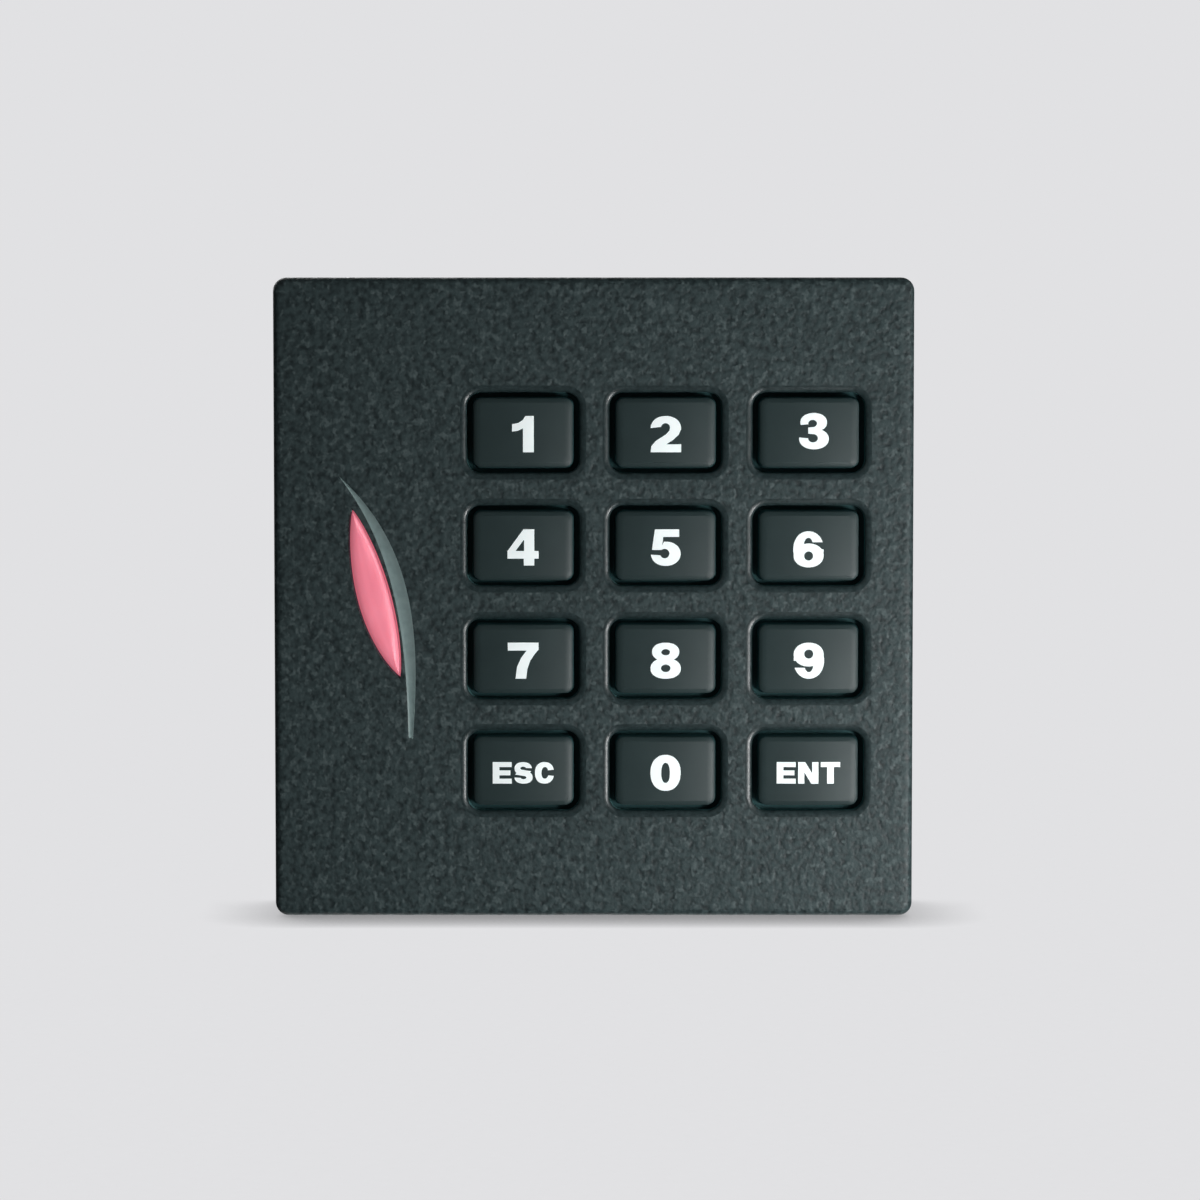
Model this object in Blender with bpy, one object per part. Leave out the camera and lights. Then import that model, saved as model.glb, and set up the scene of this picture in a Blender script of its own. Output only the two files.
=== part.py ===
"""Keypad access reader for a square wall box.

Frame: metres, +Z up. The reader faces -Y. The origin is the centre of the
wall plate's rear face, so Y = 0 is the wall and +Y points into it.

The reader hangs on two hooks of the wall plate and is locked by one screw
from below. Twelve rubber keys slide along Y in the windows of the front
cover and press carbon pills onto the circuit board.
"""

import math

import bmesh
import bpy

MM = 0.001

# --- Driving dimensions -----------------------------------------------------

# Housing.
SIDE = 86 * MM
CORNER = 1.8 * MM
EDGE_ROUND = 1.0 * MM
DRAFT = 0.05 * MM
WALL = 2.0 * MM
FACE_THICKNESS = 2.2 * MM
FACE_Y = -18 * MM
RIM_Y = -0.4 * MM
GAP = 0.3 * MM

# Keypad: columns and rows of the key centres, and the key's own sizes.
COLUMNS = (-9.45 * MM, 9.65 * MM, 28.85 * MM)
ROWS = (22.2 * MM, 7.05 * MM, -8.15 * MM, -23.25 * MM)
KEY_NAMES = (("1", "2", "3"), ("4", "5", "6"), ("7", "8", "9"), ("esc", "0", "ent"))
WINDOW = (15.1 * MM, 10.8 * MM)
WINDOW_CORNER = 1.9 * MM
WINDOW_CHAMFER = 0.4 * MM
KEY_TOP = (13.3 * MM, 9.2 * MM)
KEY_BASE = (13.7 * MM, 9.6 * MM)
KEY_CORNER = 1.1 * MM
KEY_EDGE = 0.5 * MM
KEY_CROWN = 0.15 * MM
KEY_PROUD = 1.0 * MM
KEY_FLANGE = (16.9 * MM, 12.6 * MM)
KEY_FLANGE_THICKNESS = 1.0 * MM
KEY_STEM = (10 * MM, 6.4 * MM)
KEY_TRAVEL = 1.0 * MM

# Circuit board and the rubber mat on it.
BOARD_FRONT_Y = -10.5 * MM
BOARD_THICKNESS = 1.6 * MM
BOARD_SIDE = 77 * MM
BOARD_NOTCH = 4.9 * MM
MAT_THICKNESS = 1.2 * MM
MAT_COLLAR = 1.0 * MM
MAT_X = (-19.2 * MM, 38.6 * MM)
MAT_Z = (-29.9 * MM, 28.9 * MM)
PILL_RADIUS = 2.2 * MM
PILL_THICKNESS = 0.6 * MM

# Status lens: a pointed leaf that leans to the left, and the groove beside it.
LENS_TOP = (-32.3 * MM, 11.5 * MM)
LENS_BOTTOM = (-26.15 * MM, -10.3 * MM)
LENS_BULGE_LEFT = 2.45 * MM
LENS_BULGE_RIGHT = 1.6 * MM
LENS_SKEW = 0.15
LENS_BLUNTNESS = 0.85
LENS_PROUD = 0.6 * MM
LENS_FLANGE = 1.1 * MM
GROOVE_TOP = (-34.15 * MM, 16.35 * MM)
GROOVE_RIGHT_END = (-24.3 * MM, -19 * MM)
GROOVE_LEFT_END = (-24.9 * MM, -18.8 * MM)
GROOVE_RIGHT_BULGE = 4.55 * MM
GROOVE_LEFT_BULGE = 3 * MM
GROOVE_SKEW = 0.28
GROOVE_DEPTH = 0.15 * MM

# Rear cover and wall plate.
REAR_FRONT_Y = -4.6 * MM
REAR_BACK_Y = -2.8 * MM
REAR_SIDE = 81.2 * MM
PLATE_SIDE = 79 * MM
PLATE_THICKNESS = 2.2 * MM
BOX_SCREW_PITCH = 60.3 * MM
BOX_SLOT = (4.2 * MM, 8.2 * MM)
CABLE_OPENING = 18 * MM
CABLE_CENTRE = (0.0, -17 * MM)
GROMMET_BORE = 3.2 * MM
HOOK_X = 22 * MM
HOOK_Z = 29.0 * MM

# Screw places: the four case screws, the board screws and the lock screw.
CASE_SCREW = 37.2 * MM
BOARD_SCREWS = (
    (-28 * MM, 30 * MM),
    (-28 * MM, -30 * MM),
    (19.7 * MM, 31.6 * MM),
    (19.7 * MM, -32.6 * MM),
)
LOCK_SCREW_Y = -4.3 * MM

# --- Values worked out from them ----------------------------------------------

HALF = SIDE / 2
FACE_BACK_Y = FACE_Y + FACE_THICKNESS
BOARD_BACK_Y = BOARD_FRONT_Y + BOARD_THICKNESS
KEY_FLANGE_FRONT_Y = FACE_BACK_Y + GAP
KEY_FLANGE_BACK_Y = KEY_FLANGE_FRONT_Y + KEY_FLANGE_THICKNESS
PILL_BACK_Y = BOARD_FRONT_Y - GAP - KEY_TRAVEL
PILL_FRONT_Y = PILL_BACK_Y - PILL_THICKNESS
MAT_BACK_Y = BOARD_FRONT_Y - GAP
MAT_FRONT_Y = MAT_BACK_Y - MAT_THICKNESS
REAR_HALF = REAR_SIDE / 2
BOSS_END_Y = -5.7 * MM
PAD_END_Y = -5.4 * MM

CORNER_STEPS = 4
ROUND_STEPS = 20
SCREW_STEPS = 12


# --- Outlines: lists of (x, z) -------------------------------------------------


def rounded_rectangle(width, height, radius, centre=(0.0, 0.0), steps=CORNER_STEPS):
    """Corners are quarter circles, run anticlockwise from the right one at the top."""
    points = []
    for quarter, (sx, sz) in enumerate(((1, 1), (-1, 1), (-1, -1), (1, -1))):
        for step in range(steps + 1):
            angle = math.radians(90) * (quarter + step / steps)
            x = centre[0] + sx * (width / 2 - radius) + radius * math.cos(angle)
            z = centre[1] + sz * (height / 2 - radius) + radius * math.sin(angle)
            points.append((x, z))
    return points


def circle(radius, centre=(0.0, 0.0), steps=ROUND_STEPS):
    turn = 2 * math.pi / steps
    return [
        (centre[0] + radius * math.cos(turn * i), centre[1] + radius * math.sin(turn * i))
        for i in range(steps)
    ]


def bow(start, end, bulge, skew, power=1.0, steps=14):
    """A bowed line that bulges left of the way it runs.

    skew moves the bulge towards the start, and a power under 1 blunts both ends.
    """
    dx, dz = end[0] - start[0], end[1] - start[1]
    chord = math.hypot(dx, dz)
    points = []
    for step in range(steps + 1):
        t = 0.5 - 0.5 * math.cos(math.pi * step / steps)
        height = bulge * (4 * t * (1 - t)) ** power * (1 + skew * (1 - 2 * t))
        points.append((start[0] + dx * t - dz * height / chord, start[1] + dz * t + dx * height / chord))
    return points


def leaf(grow=0.0):
    """The lens's outline. grow moves it out on all sides."""
    dx, dz = LENS_BOTTOM[0] - LENS_TOP[0], LENS_BOTTOM[1] - LENS_TOP[1]
    reach = 1.5 * grow / math.hypot(dx, dz)
    first = (LENS_TOP[0] - dx * reach, LENS_TOP[1] - dz * reach)
    last = (LENS_BOTTOM[0] + dx * reach, LENS_BOTTOM[1] + dz * reach)
    right = bow(first, last, LENS_BULGE_RIGHT + grow, 0.0, LENS_BLUNTNESS)
    left = bow(last, first, LENS_BULGE_LEFT + grow, LENS_SKEW, LENS_BLUNTNESS)
    return right[:-1] + left[:-1]


def crescent():
    """The groove: two bowed edges from its upper tip down to a blunt end."""
    right = bow(GROOVE_TOP, GROOVE_RIGHT_END, GROOVE_RIGHT_BULGE, GROOVE_SKEW)
    left = bow(GROOVE_TOP, GROOVE_LEFT_END, GROOVE_LEFT_BULGE, GROOVE_SKEW)
    return right + left[:0:-1]


def quarter_round(radius, steps):
    """(inset, depth) pairs from a wall to the face it meets, along a quarter circle."""
    pairs = []
    for step in range(steps + 1):
        angle = math.radians(90) * step / steps
        pairs.append((radius * (1 - math.cos(angle)), radius * math.sin(angle)))
    return pairs


# --- Solids ---------------------------------------------------------------------


def add_loft(mesh, rings, closed=False):
    """Adds a solid through rings, each (y, outline). A closed one is a hollow ring."""
    rows = []
    for y, outline in rings:
        rows.append([mesh.verts.new((x, y, z)) for x, z in outline])
    pairs = list(zip(rows, rows[1:]))
    if closed:
        pairs.append((rows[-1], rows[0]))
    faces = []
    for row, following in pairs:
        for i in range(len(row)):
            j = (i + 1) % len(row)
            faces.append(mesh.faces.new((row[i], row[j], following[j], following[i])))
    if not closed:
        faces.append(mesh.faces.new(rows[0]))
        faces.append(mesh.faces.new(rows[-1]))
    bmesh.ops.recalc_face_normals(mesh, faces=faces)


def prism(outline, y0, y1):
    """A single straight loft, as the list of rings that add_loft takes."""
    return [(y0, outline), (y1, outline)]


def block(x, y, z):
    """A box from three (low, high) pairs, as rings."""
    outline = [(x[1], z[1]), (x[0], z[1]), (x[0], z[0]), (x[1], z[0])]
    return prism(outline, y[0], y[1])


def solid(name, lofts, closed=False):
    """An object from one or more lofts that don't touch each other."""
    mesh = bmesh.new()
    for rings in lofts:
        add_loft(mesh, rings, closed)
    data = bpy.data.meshes.new(name)
    mesh.to_mesh(data)
    mesh.free()
    item = bpy.data.objects.new(name, data)
    bpy.context.scene.collection.objects.link(item)
    return item


def helper(name, lofts):
    """A solid that only shapes another one."""
    item = solid(name, lofts)
    item.hide_render = True
    item.display_type = "WIRE"
    return item


def combine(target, tool, operation):
    modifier = target.modifiers.new(tool.name, "BOOLEAN")
    modifier.operation = operation
    modifier.solver = "EXACT"
    modifier.object = tool


def shade_round(item, angle=35):
    item.data.shade_smooth()
    item.data.set_sharp_from_angle(angle=math.radians(angle))


def material(name, colour, roughness, metallic=0.0):
    made = bpy.data.materials.new(name)
    made.use_nodes = True
    shader = made.node_tree.nodes["Principled BSDF"]
    shader.inputs["Base Color"].default_value = (*colour, 1.0)
    shader.inputs["Roughness"].default_value = roughness
    shader.inputs["Metallic"].default_value = metallic
    return made


def paint(item, made):
    item.data.materials.append(made)


# --- Housing --------------------------------------------------------------------


def window_rings(centre):
    """A key window's cutter: straight through the face, with a chamfered mouth."""
    rings = []
    for y, grow in (
        (FACE_BACK_Y + 1 * MM, 0.0),
        (FACE_Y + WINDOW_CHAMFER, 0.0),
        (FACE_Y - WINDOW_CHAMFER, 2 * WINDOW_CHAMFER),
    ):
        width, height = WINDOW[0] + 2 * grow, WINDOW[1] + 2 * grow
        rings.append((y, rounded_rectangle(width, height, WINDOW_CORNER, centre, 3)))
    return rings


def make_front_cover(made):
    """A cup, open at the wall, with windows, screw bosses and the lock screw's hole."""
    inner = rounded_rectangle(SIDE - 2 * WALL, SIDE - 2 * WALL, CORNER / 2)
    rings = [(FACE_BACK_Y, inner), (RIM_Y, inner), (RIM_Y, rounded_rectangle(SIDE, SIDE, CORNER))]
    for inset, depth in quarter_round(EDGE_ROUND, 3):
        side = SIDE - 2 * (DRAFT + inset)
        radius = max(CORNER - inset * 0.6, CORNER / 2)
        rings.append((FACE_Y + EDGE_ROUND - depth, rounded_rectangle(side, side, radius)))
    cover = solid("front_cover", [rings])

    bosses = [
        prism(circle(3.0 * MM, (sx * CASE_SCREW, sz * CASE_SCREW)), FACE_BACK_Y - 0.5 * MM, BOSS_END_Y)
        for sx in (-1, 1)
        for sz in (-1, 1)
    ]
    for centre in BOARD_SCREWS:
        outline = circle(2.3 * MM, centre, 16)
        bosses.append(prism(outline, FACE_BACK_Y - 0.5 * MM, BOARD_FRONT_Y - GAP))
    pad_z = (-HALF + WALL - 0.5 * MM, -HALF + WALL + 1.1 * MM)
    bosses.append(block((-3.8 * MM, 3.8 * MM), (-9 * MM, -1.2 * MM), pad_z))
    combine(cover, helper("cover_bosses", bosses), "UNION")

    openings = []
    for z in ROWS:
        for x in COLUMNS:
            openings.append(window_rings((x, z)))
    hole = leaf(GAP)
    openings.append(prism(hole, FACE_BACK_Y + 1 * MM, FACE_Y - 1 * MM))
    combine(cover, helper("cover_windows", openings), "DIFFERENCE")

    cut = prism(crescent(), FACE_Y + GROOVE_DEPTH, FACE_Y - 1 * MM)
    combine(cover, helper("cover_groove", [cut]), "DIFFERENCE")

    pilots = [
        prism(circle(1.5 * MM, (sx * CASE_SCREW, sz * CASE_SCREW), 12), -13 * MM, BOSS_END_Y + 1 * MM)
        for sx in (-1, 1)
        for sz in (-1, 1)
    ]
    for centre in BOARD_SCREWS:
        pilots.append(prism(circle(1.3 * MM, centre, 12), -15.2 * MM, BOARD_FRONT_Y + 1 * MM))
    combine(cover, helper("cover_pilots", pilots), "DIFFERENCE")

    # The lock screw's stepped hole runs up through the lower wall.
    step_z = -HALF + 1.7 * MM
    stepped = [
        (-HALF - 1 * MM, circle(2.9 * MM)),
        (step_z, circle(2.9 * MM)),
        (step_z, circle(1.9 * MM)),
        (-HALF + 5 * MM, circle(1.9 * MM)),
    ]
    drill = helper("lock_screw_hole", [stepped])
    drill.rotation_euler = (math.radians(90), 0, 0)
    drill.location = (0, LOCK_SCREW_Y, 0)
    combine(cover, drill, "DIFFERENCE")
    paint(cover, made)
    shade_round(cover)
    return cover


def make_status_lens(made):
    """The red light guide: a flange inside the cover and a domed leaf outside."""
    rings = [
        (FACE_BACK_Y + GAP + 0.9 * MM, leaf(LENS_FLANGE)),
        (FACE_BACK_Y + GAP, leaf(LENS_FLANGE)),
        (FACE_BACK_Y + GAP, leaf(0.0)),
        (FACE_Y, leaf(0.0)),
        (FACE_Y - 0.65 * LENS_PROUD, leaf(-0.35 * MM)),
        (FACE_Y - 0.95 * LENS_PROUD, leaf(-0.9 * MM)),
        (FACE_Y - LENS_PROUD, leaf(-1.4 * MM)),
    ]
    lens = solid("status_lens", [rings])
    paint(lens, made)
    shade_round(lens, 50)
    return lens


def make_rear_cover(made):
    """The flat back that closes the housing, with the hook slots and cable outlet."""
    side = rounded_rectangle(REAR_SIDE, REAR_SIDE, 1.2 * MM)
    cover = solid("rear_cover", [prism(side, REAR_FRONT_Y, REAR_BACK_Y)])
    corners = [(sx * CASE_SCREW, sz * CASE_SCREW) for sx in (-1, 1) for sz in (-1, 1)]
    inside = REAR_FRONT_Y + 0.6 * MM

    pads = [prism(circle(3.2 * MM, corner), PAD_END_Y, inside) for corner in corners]
    pads.append(prism(circle(7.4 * MM, CABLE_CENTRE, 28), REAR_FRONT_Y - 1.2 * MM, inside))
    combine(cover, helper("rear_pads", pads), "UNION")

    past = REAR_BACK_Y + 1 * MM
    cuts = []
    for corner in corners:
        cuts.append(
            [
                (past, circle(2.6 * MM, corner)),
                (REAR_BACK_Y - 1.6 * MM, circle(2.6 * MM, corner)),
                (REAR_BACK_Y - 1.6 * MM, circle(1.5 * MM, corner)),
                (PAD_END_Y - 1 * MM, circle(1.5 * MM, corner)),
            ]
        )
    cuts.append(
        [
            (past, circle(6.0 * MM, CABLE_CENTRE, 28)),
            (REAR_BACK_Y - 1.2 * MM, circle(6.0 * MM, CABLE_CENTRE, 28)),
            (REAR_BACK_Y - 1.2 * MM, circle(4.6 * MM, CABLE_CENTRE, 28)),
            (REAR_FRONT_Y - 3 * MM, circle(4.6 * MM, CABLE_CENTRE, 28)),
        ]
    )
    for sx in (-1, 1):
        slot = rounded_rectangle(8.4 * MM, 4.9 * MM, 0.5 * MM, (sx * HOOK_X, HOOK_Z - 0.55 * MM), 2)
        cuts.append(prism(slot, REAR_FRONT_Y - 1 * MM, past))
    notch = ((-4.2 * MM, 4.2 * MM), (REAR_FRONT_Y - 1 * MM, past), (-REAR_HALF - 1 * MM, -35.4 * MM))
    cuts.append(block(*notch))
    combine(cover, helper("rear_cuts", cuts), "DIFFERENCE")
    paint(cover, made)
    shade_round(cover)
    return cover


def make_cable_grommet(made):
    """A grooved rubber ring: its neck sits in the rear cover's outlet."""
    levels = (
        (REAR_BACK_Y - GAP, 5.6 * MM),
        (REAR_BACK_Y - 0.9 * MM, 5.6 * MM),
        (REAR_BACK_Y - 0.9 * MM, 4.3 * MM),
        (REAR_FRONT_Y - 1.5 * MM, 4.3 * MM),
        (REAR_FRONT_Y - 1.5 * MM, 6.0 * MM),
        (REAR_FRONT_Y - 2.3 * MM, 5.4 * MM),
        (REAR_FRONT_Y - 2.3 * MM, GROMMET_BORE),
        (REAR_BACK_Y - GAP, GROMMET_BORE),
    )
    rings = [(y, circle(radius, steps=24)) for y, radius in levels]
    grommet = solid("cable_grommet", [rings], closed=True)
    grommet.location = (CABLE_CENTRE[0], 0, CABLE_CENTRE[1])
    paint(grommet, made)
    shade_round(grommet)
    return grommet


def make_wall_plate(made):
    """The plate screwed to the wall box, with two hooks and the lock screw's tab."""
    outline = rounded_rectangle(PLATE_SIDE, PLATE_SIDE, 2 * MM)
    plate = solid("wall_plate", [prism(outline, -PLATE_THICKNESS, 0.0)])
    root_y = -PLATE_THICKNESS + 0.8 * MM
    lip_y = (REAR_FRONT_Y - 1.3 * MM, REAR_FRONT_Y - GAP)

    posts, lips = [], []
    for sx in (-1, 1):
        half_width = 3.7 * MM
        foot, post, tip = HOOK_Z - 0.5 * MM, HOOK_Z + 1.1 * MM, HOOK_Z + 3.6 * MM
        post_x = (sx * HOOK_X - half_width + 0.3 * MM, sx * HOOK_X + half_width - 0.3 * MM)
        posts.append(block(post_x, (lip_y[0] + 0.4 * MM, root_y), (foot + 0.3 * MM, post)))
        lip_x = (sx * HOOK_X - half_width, sx * HOOK_X + half_width)
        lips.append(block(lip_x, lip_y, (foot, tip)))
    posts.append(block((-3.6 * MM, 3.6 * MM), (-6.3 * MM, root_y), (-39.2 * MM, -36.2 * MM)))
    combine(plate, helper("wall_plate_posts", posts), "UNION")
    combine(plate, helper("wall_plate_lips", lips), "UNION")

    past = (-PLATE_THICKNESS - 1 * MM, 1 * MM)
    narrow, length = BOX_SLOT
    cuts = []
    for sign in (-1, 1):
        reach = sign * BOX_SCREW_PITCH / 2
        upright = rounded_rectangle(narrow, length, narrow * 0.499, (reach, 0.0))
        level = rounded_rectangle(length, narrow, narrow * 0.499, (0.0, reach))
        cuts.append(prism(upright, *past))
        cuts.append(prism(level, *past))
    opening = rounded_rectangle(CABLE_OPENING, CABLE_OPENING, 1.5 * MM, CABLE_CENTRE)
    cuts.append(prism(opening, *past))
    combine(plate, helper("wall_plate_cuts", cuts), "DIFFERENCE")

    drill = helper("tab_hole", [prism(circle(1.8 * MM, steps=16), -42 * MM, -30 * MM)])
    drill.rotation_euler = (math.radians(90), 0, 0)
    drill.location = (0, LOCK_SCREW_Y, 0)
    combine(plate, drill, "DIFFERENCE")
    paint(plate, made)
    shade_round(plate)
    return plate


# --- Fasteners --------------------------------------------------------------------


def screw_mesh(name, head_radius, head_height, shank_radius, shank_length):
    """A pan head screw along Y. Its head's seat is at y = 0 and its point at -Y."""
    rings = [
        (head_height, circle(head_radius * 0.62, steps=SCREW_STEPS)),
        (head_height * 0.72, circle(head_radius * 0.93, steps=SCREW_STEPS)),
        (head_height * 0.3, circle(head_radius, steps=SCREW_STEPS)),
        (0.0, circle(head_radius, steps=SCREW_STEPS)),
        (0.0, circle(shank_radius, steps=SCREW_STEPS)),
        (-shank_length + shank_radius, circle(shank_radius, steps=SCREW_STEPS)),
        (-shank_length, circle(shank_radius * 0.3, steps=SCREW_STEPS)),
    ]
    mesh = bmesh.new()
    add_loft(mesh, rings)
    data = bpy.data.meshes.new(name)
    mesh.to_mesh(data)
    mesh.free()
    data.shade_smooth()
    data.set_sharp_from_angle(angle=math.radians(35))
    return data


def place(name, data, location, rotation=(0, 0, 0)):
    item = bpy.data.objects.new(name, data)
    item.location = location
    item.rotation_euler = rotation
    bpy.context.scene.collection.objects.link(item)
    return item


def make_fasteners(made):
    case_screw = screw_mesh("case_screw", 2.2 * MM, 1.3 * MM, 1.15 * MM, 7.6 * MM)
    case_screw.materials.append(made)
    corners = ((-1, 1), (1, 1), (-1, -1), (1, -1))
    for number, (sx, sz) in enumerate(corners, start=1):
        seat = (sx * CASE_SCREW, REAR_BACK_Y - 1.45 * MM, sz * CASE_SCREW)
        place(f"case_screw_{number}", case_screw, seat)

    board_screw = screw_mesh("board_screw", 2.0 * MM, 1.3 * MM, 1.0 * MM, 6.0 * MM)
    board_screw.materials.append(made)
    for number, (x, z) in enumerate(BOARD_SCREWS, start=1):
        place(f"board_screw_{number}", board_screw, (x, BOARD_BACK_Y + GAP, z))

    lock_screw = screw_mesh("lock_screw", 2.5 * MM, 1.3 * MM, 1.5 * MM, 5.6 * MM)
    lock_screw.materials.append(made)
    seat = (0, LOCK_SCREW_Y, -HALF + 1.45 * MM)
    place("lock_screw", lock_screw, seat, (math.radians(-90), 0, 0))


# --- Keypad ---------------------------------------------------------------------


def key_mesh(made):
    """One rubber key about its own axis, which runs along Y through its centre."""
    top_y = FACE_Y - KEY_PROUD
    stem = rounded_rectangle(*KEY_STEM, 1.0 * MM, steps=3)
    flange = rounded_rectangle(*KEY_FLANGE, 1.6 * MM, steps=3)
    base = rounded_rectangle(*KEY_BASE, KEY_CORNER, steps=3)
    shoulder = rounded_rectangle(*KEY_TOP, KEY_CORNER, steps=3)
    inset = 2 * KEY_EDGE
    face = rounded_rectangle(KEY_TOP[0] - inset, KEY_TOP[1] - inset, KEY_CORNER, steps=3)
    crown = rounded_rectangle(KEY_TOP[0] * 0.6, KEY_TOP[1] * 0.5, KEY_CORNER, steps=3)
    rings = [
        (PILL_FRONT_Y - GAP, stem),
        (KEY_FLANGE_BACK_Y, stem),
        (KEY_FLANGE_BACK_Y, flange),
        (KEY_FLANGE_FRONT_Y, flange),
        (KEY_FLANGE_FRONT_Y, base),
        (top_y + KEY_CROWN + KEY_EDGE, shoulder),
        (top_y + KEY_CROWN, face),
        (top_y, crown),
    ]
    mesh = bmesh.new()
    add_loft(mesh, rings)
    data = bpy.data.meshes.new("key")
    mesh.to_mesh(data)
    mesh.free()
    data.materials.append(made)
    data.shade_smooth()
    data.set_sharp_from_angle(angle=math.radians(50))
    return data


def make_keys(rubber, carbon):
    """Each key and its carbon pill hang on an empty on the key's sliding axis."""
    key = key_mesh(rubber)
    mesh = bmesh.new()
    add_loft(mesh, prism(circle(PILL_RADIUS, steps=16), PILL_FRONT_Y, PILL_BACK_Y))
    pill = bpy.data.meshes.new("contact_pill")
    mesh.to_mesh(pill)
    mesh.free()
    pill.materials.append(carbon)
    for names, z in zip(KEY_NAMES, ROWS):
        for name, x in zip(names, COLUMNS):
            axis = bpy.data.objects.new(f"axis_{name}", None)
            axis.location = (x, 0, z)
            bpy.context.scene.collection.objects.link(axis)
            place(f"key_{name}", key, (0, 0, 0)).parent = axis
            place(f"contact_pill_{name}", pill, (0, 0, 0)).parent = axis


def make_keypad_mat(made):
    """The silicone sheet on the board, with a collar round each key's stem."""
    centre = ((MAT_X[0] + MAT_X[1]) / 2, (MAT_Z[0] + MAT_Z[1]) / 2)
    size = (MAT_X[1] - MAT_X[0], MAT_Z[1] - MAT_Z[0])
    sheet = rounded_rectangle(*size, 2 * MM, centre)
    mat = solid("keypad_mat", [prism(sheet, MAT_FRONT_Y, MAT_BACK_Y)])
    collars = []
    holes = []
    for z in ROWS:
        for x in COLUMNS:
            outer = rounded_rectangle(KEY_STEM[0] + 3 * MM, KEY_STEM[1] + 3 * MM, 1.6 * MM, (x, z), 2)
            inner = rounded_rectangle(KEY_STEM[0] + 0.8 * MM, KEY_STEM[1] + 0.8 * MM, 1.2 * MM, (x, z), 2)
            collars.append(prism(outer, MAT_FRONT_Y - MAT_COLLAR, MAT_FRONT_Y + 0.5 * MM))
            holes.append(prism(inner, MAT_FRONT_Y - 2 * MM, MAT_BACK_Y + 1 * MM))
    combine(mat, helper("mat_collars", collars), "UNION")
    combine(mat, helper("mat_holes", holes), "DIFFERENCE")
    paint(mat, made)
    shade_round(mat)
    return mat


# --- Electronics ----------------------------------------------------------------


def make_main_board(made):
    """A square board with notched corners for the case screw bosses."""
    half = BOARD_SIDE / 2
    inner = half - BOARD_NOTCH
    quarter = ((inner, half), (inner, inner), (half, inner))
    outline = list(quarter)
    outline += [(x, -z) for x, z in reversed(quarter)]
    outline += [(-x, -z) for x, z in quarter]
    outline += [(-x, z) for x, z in reversed(quarter)]
    board = solid("main_board", [prism(outline, BOARD_FRONT_Y, BOARD_BACK_Y)])
    holes = [
        prism(circle(1.4 * MM, centre, 16), BOARD_FRONT_Y - 1 * MM, BOARD_BACK_Y + 1 * MM)
        for centre in BOARD_SCREWS
    ]
    combine(board, helper("board_holes", holes), "DIFFERENCE")
    paint(board, made)
    return board


def make_antenna_coil(made):
    """The reader's flat wound coil, laid round the edge of the board's back."""
    outer = rounded_rectangle(75.8 * MM, 75.8 * MM, 13 * MM, steps=6)
    inner = rounded_rectangle(70.8 * MM, 70.8 * MM, 10.5 * MM, steps=6)
    near = BOARD_BACK_Y + GAP
    far = near + 1.8 * MM
    rings = [(near, outer), (far, outer), (far, inner), (near, inner)]
    coil = solid("antenna_coil", [rings], closed=True)
    paint(coil, made)
    shade_round(coil)
    return coil


def make_chip(name, centre, size, height, made, front=False, corner=0.3 * MM):
    """A moulded package that stands on the board, on its back unless front is set."""
    if front:
        near = BOARD_FRONT_Y - GAP
        far = near - height
    else:
        near = BOARD_BACK_Y + GAP
        far = near + height
    full = rounded_rectangle(*size, corner, steps=2)
    edge = 0.25 * MM
    slim = rounded_rectangle(size[0] - 2 * edge, size[1] - 2 * edge, corner, steps=2)
    brow = far + edge if front else far - edge
    chip = solid(name, [[(near, full), (brow, full), (far, slim)]])
    chip.location = (centre[0], 0, centre[1])
    paint(chip, made)
    return chip


def make_electronics(moulded, steel, tantalum, red_led, green_led, buzzer_black, ivory):
    make_chip("microcontroller", (-9 * MM, 12 * MM), (10 * MM, 10 * MM), 1.4 * MM, moulded)
    make_chip("reader_chip", (12 * MM, 14 * MM), (10 * MM, 4 * MM), 1.5 * MM, moulded)
    make_chip("crystal", (-9 * MM, 24 * MM), (11 * MM, 4.6 * MM), 3.0 * MM, steel, corner=2.2 * MM)
    make_chip("voltage_regulator", (26 * MM, 2 * MM), (6.5 * MM, 3.6 * MM), 1.7 * MM, moulded)
    make_chip("filter_capacitor_1", (26 * MM, 12 * MM), (7.3 * MM, 4.3 * MM), 2.8 * MM, tantalum)
    make_chip("filter_capacitor_2", (26 * MM, -6 * MM), (7.3 * MM, 4.3 * MM), 2.8 * MM, tantalum)
    make_chip("cable_connector", (18 * MM, -17 * MM), (5.2 * MM, 16 * MM), 3.4 * MM, ivory)
    make_chip("status_led_red", (-30 * MM, 3.5 * MM), (3.2 * MM, 2.8 * MM), 1.9 * MM, red_led, True)
    make_chip("status_led_green", (-28.4 * MM, -3 * MM), (3.2 * MM, 2.8 * MM), 1.9 * MM, green_led, True)

    near = BOARD_BACK_Y + GAP
    rings = [
        (near, circle(4.5 * MM, steps=24)),
        (near + 3.0 * MM, circle(4.5 * MM, steps=24)),
        (near + 3.3 * MM, circle(4.2 * MM, steps=24)),
        (near + 3.3 * MM, circle(1.0 * MM, steps=24)),
        (near + 2.6 * MM, circle(1.0 * MM, steps=24)),
    ]
    buzzer = solid("buzzer", [rings])
    buzzer.location = (-20 * MM, 0, -17 * MM)
    paint(buzzer, buzzer_black)
    shade_round(buzzer)


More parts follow.
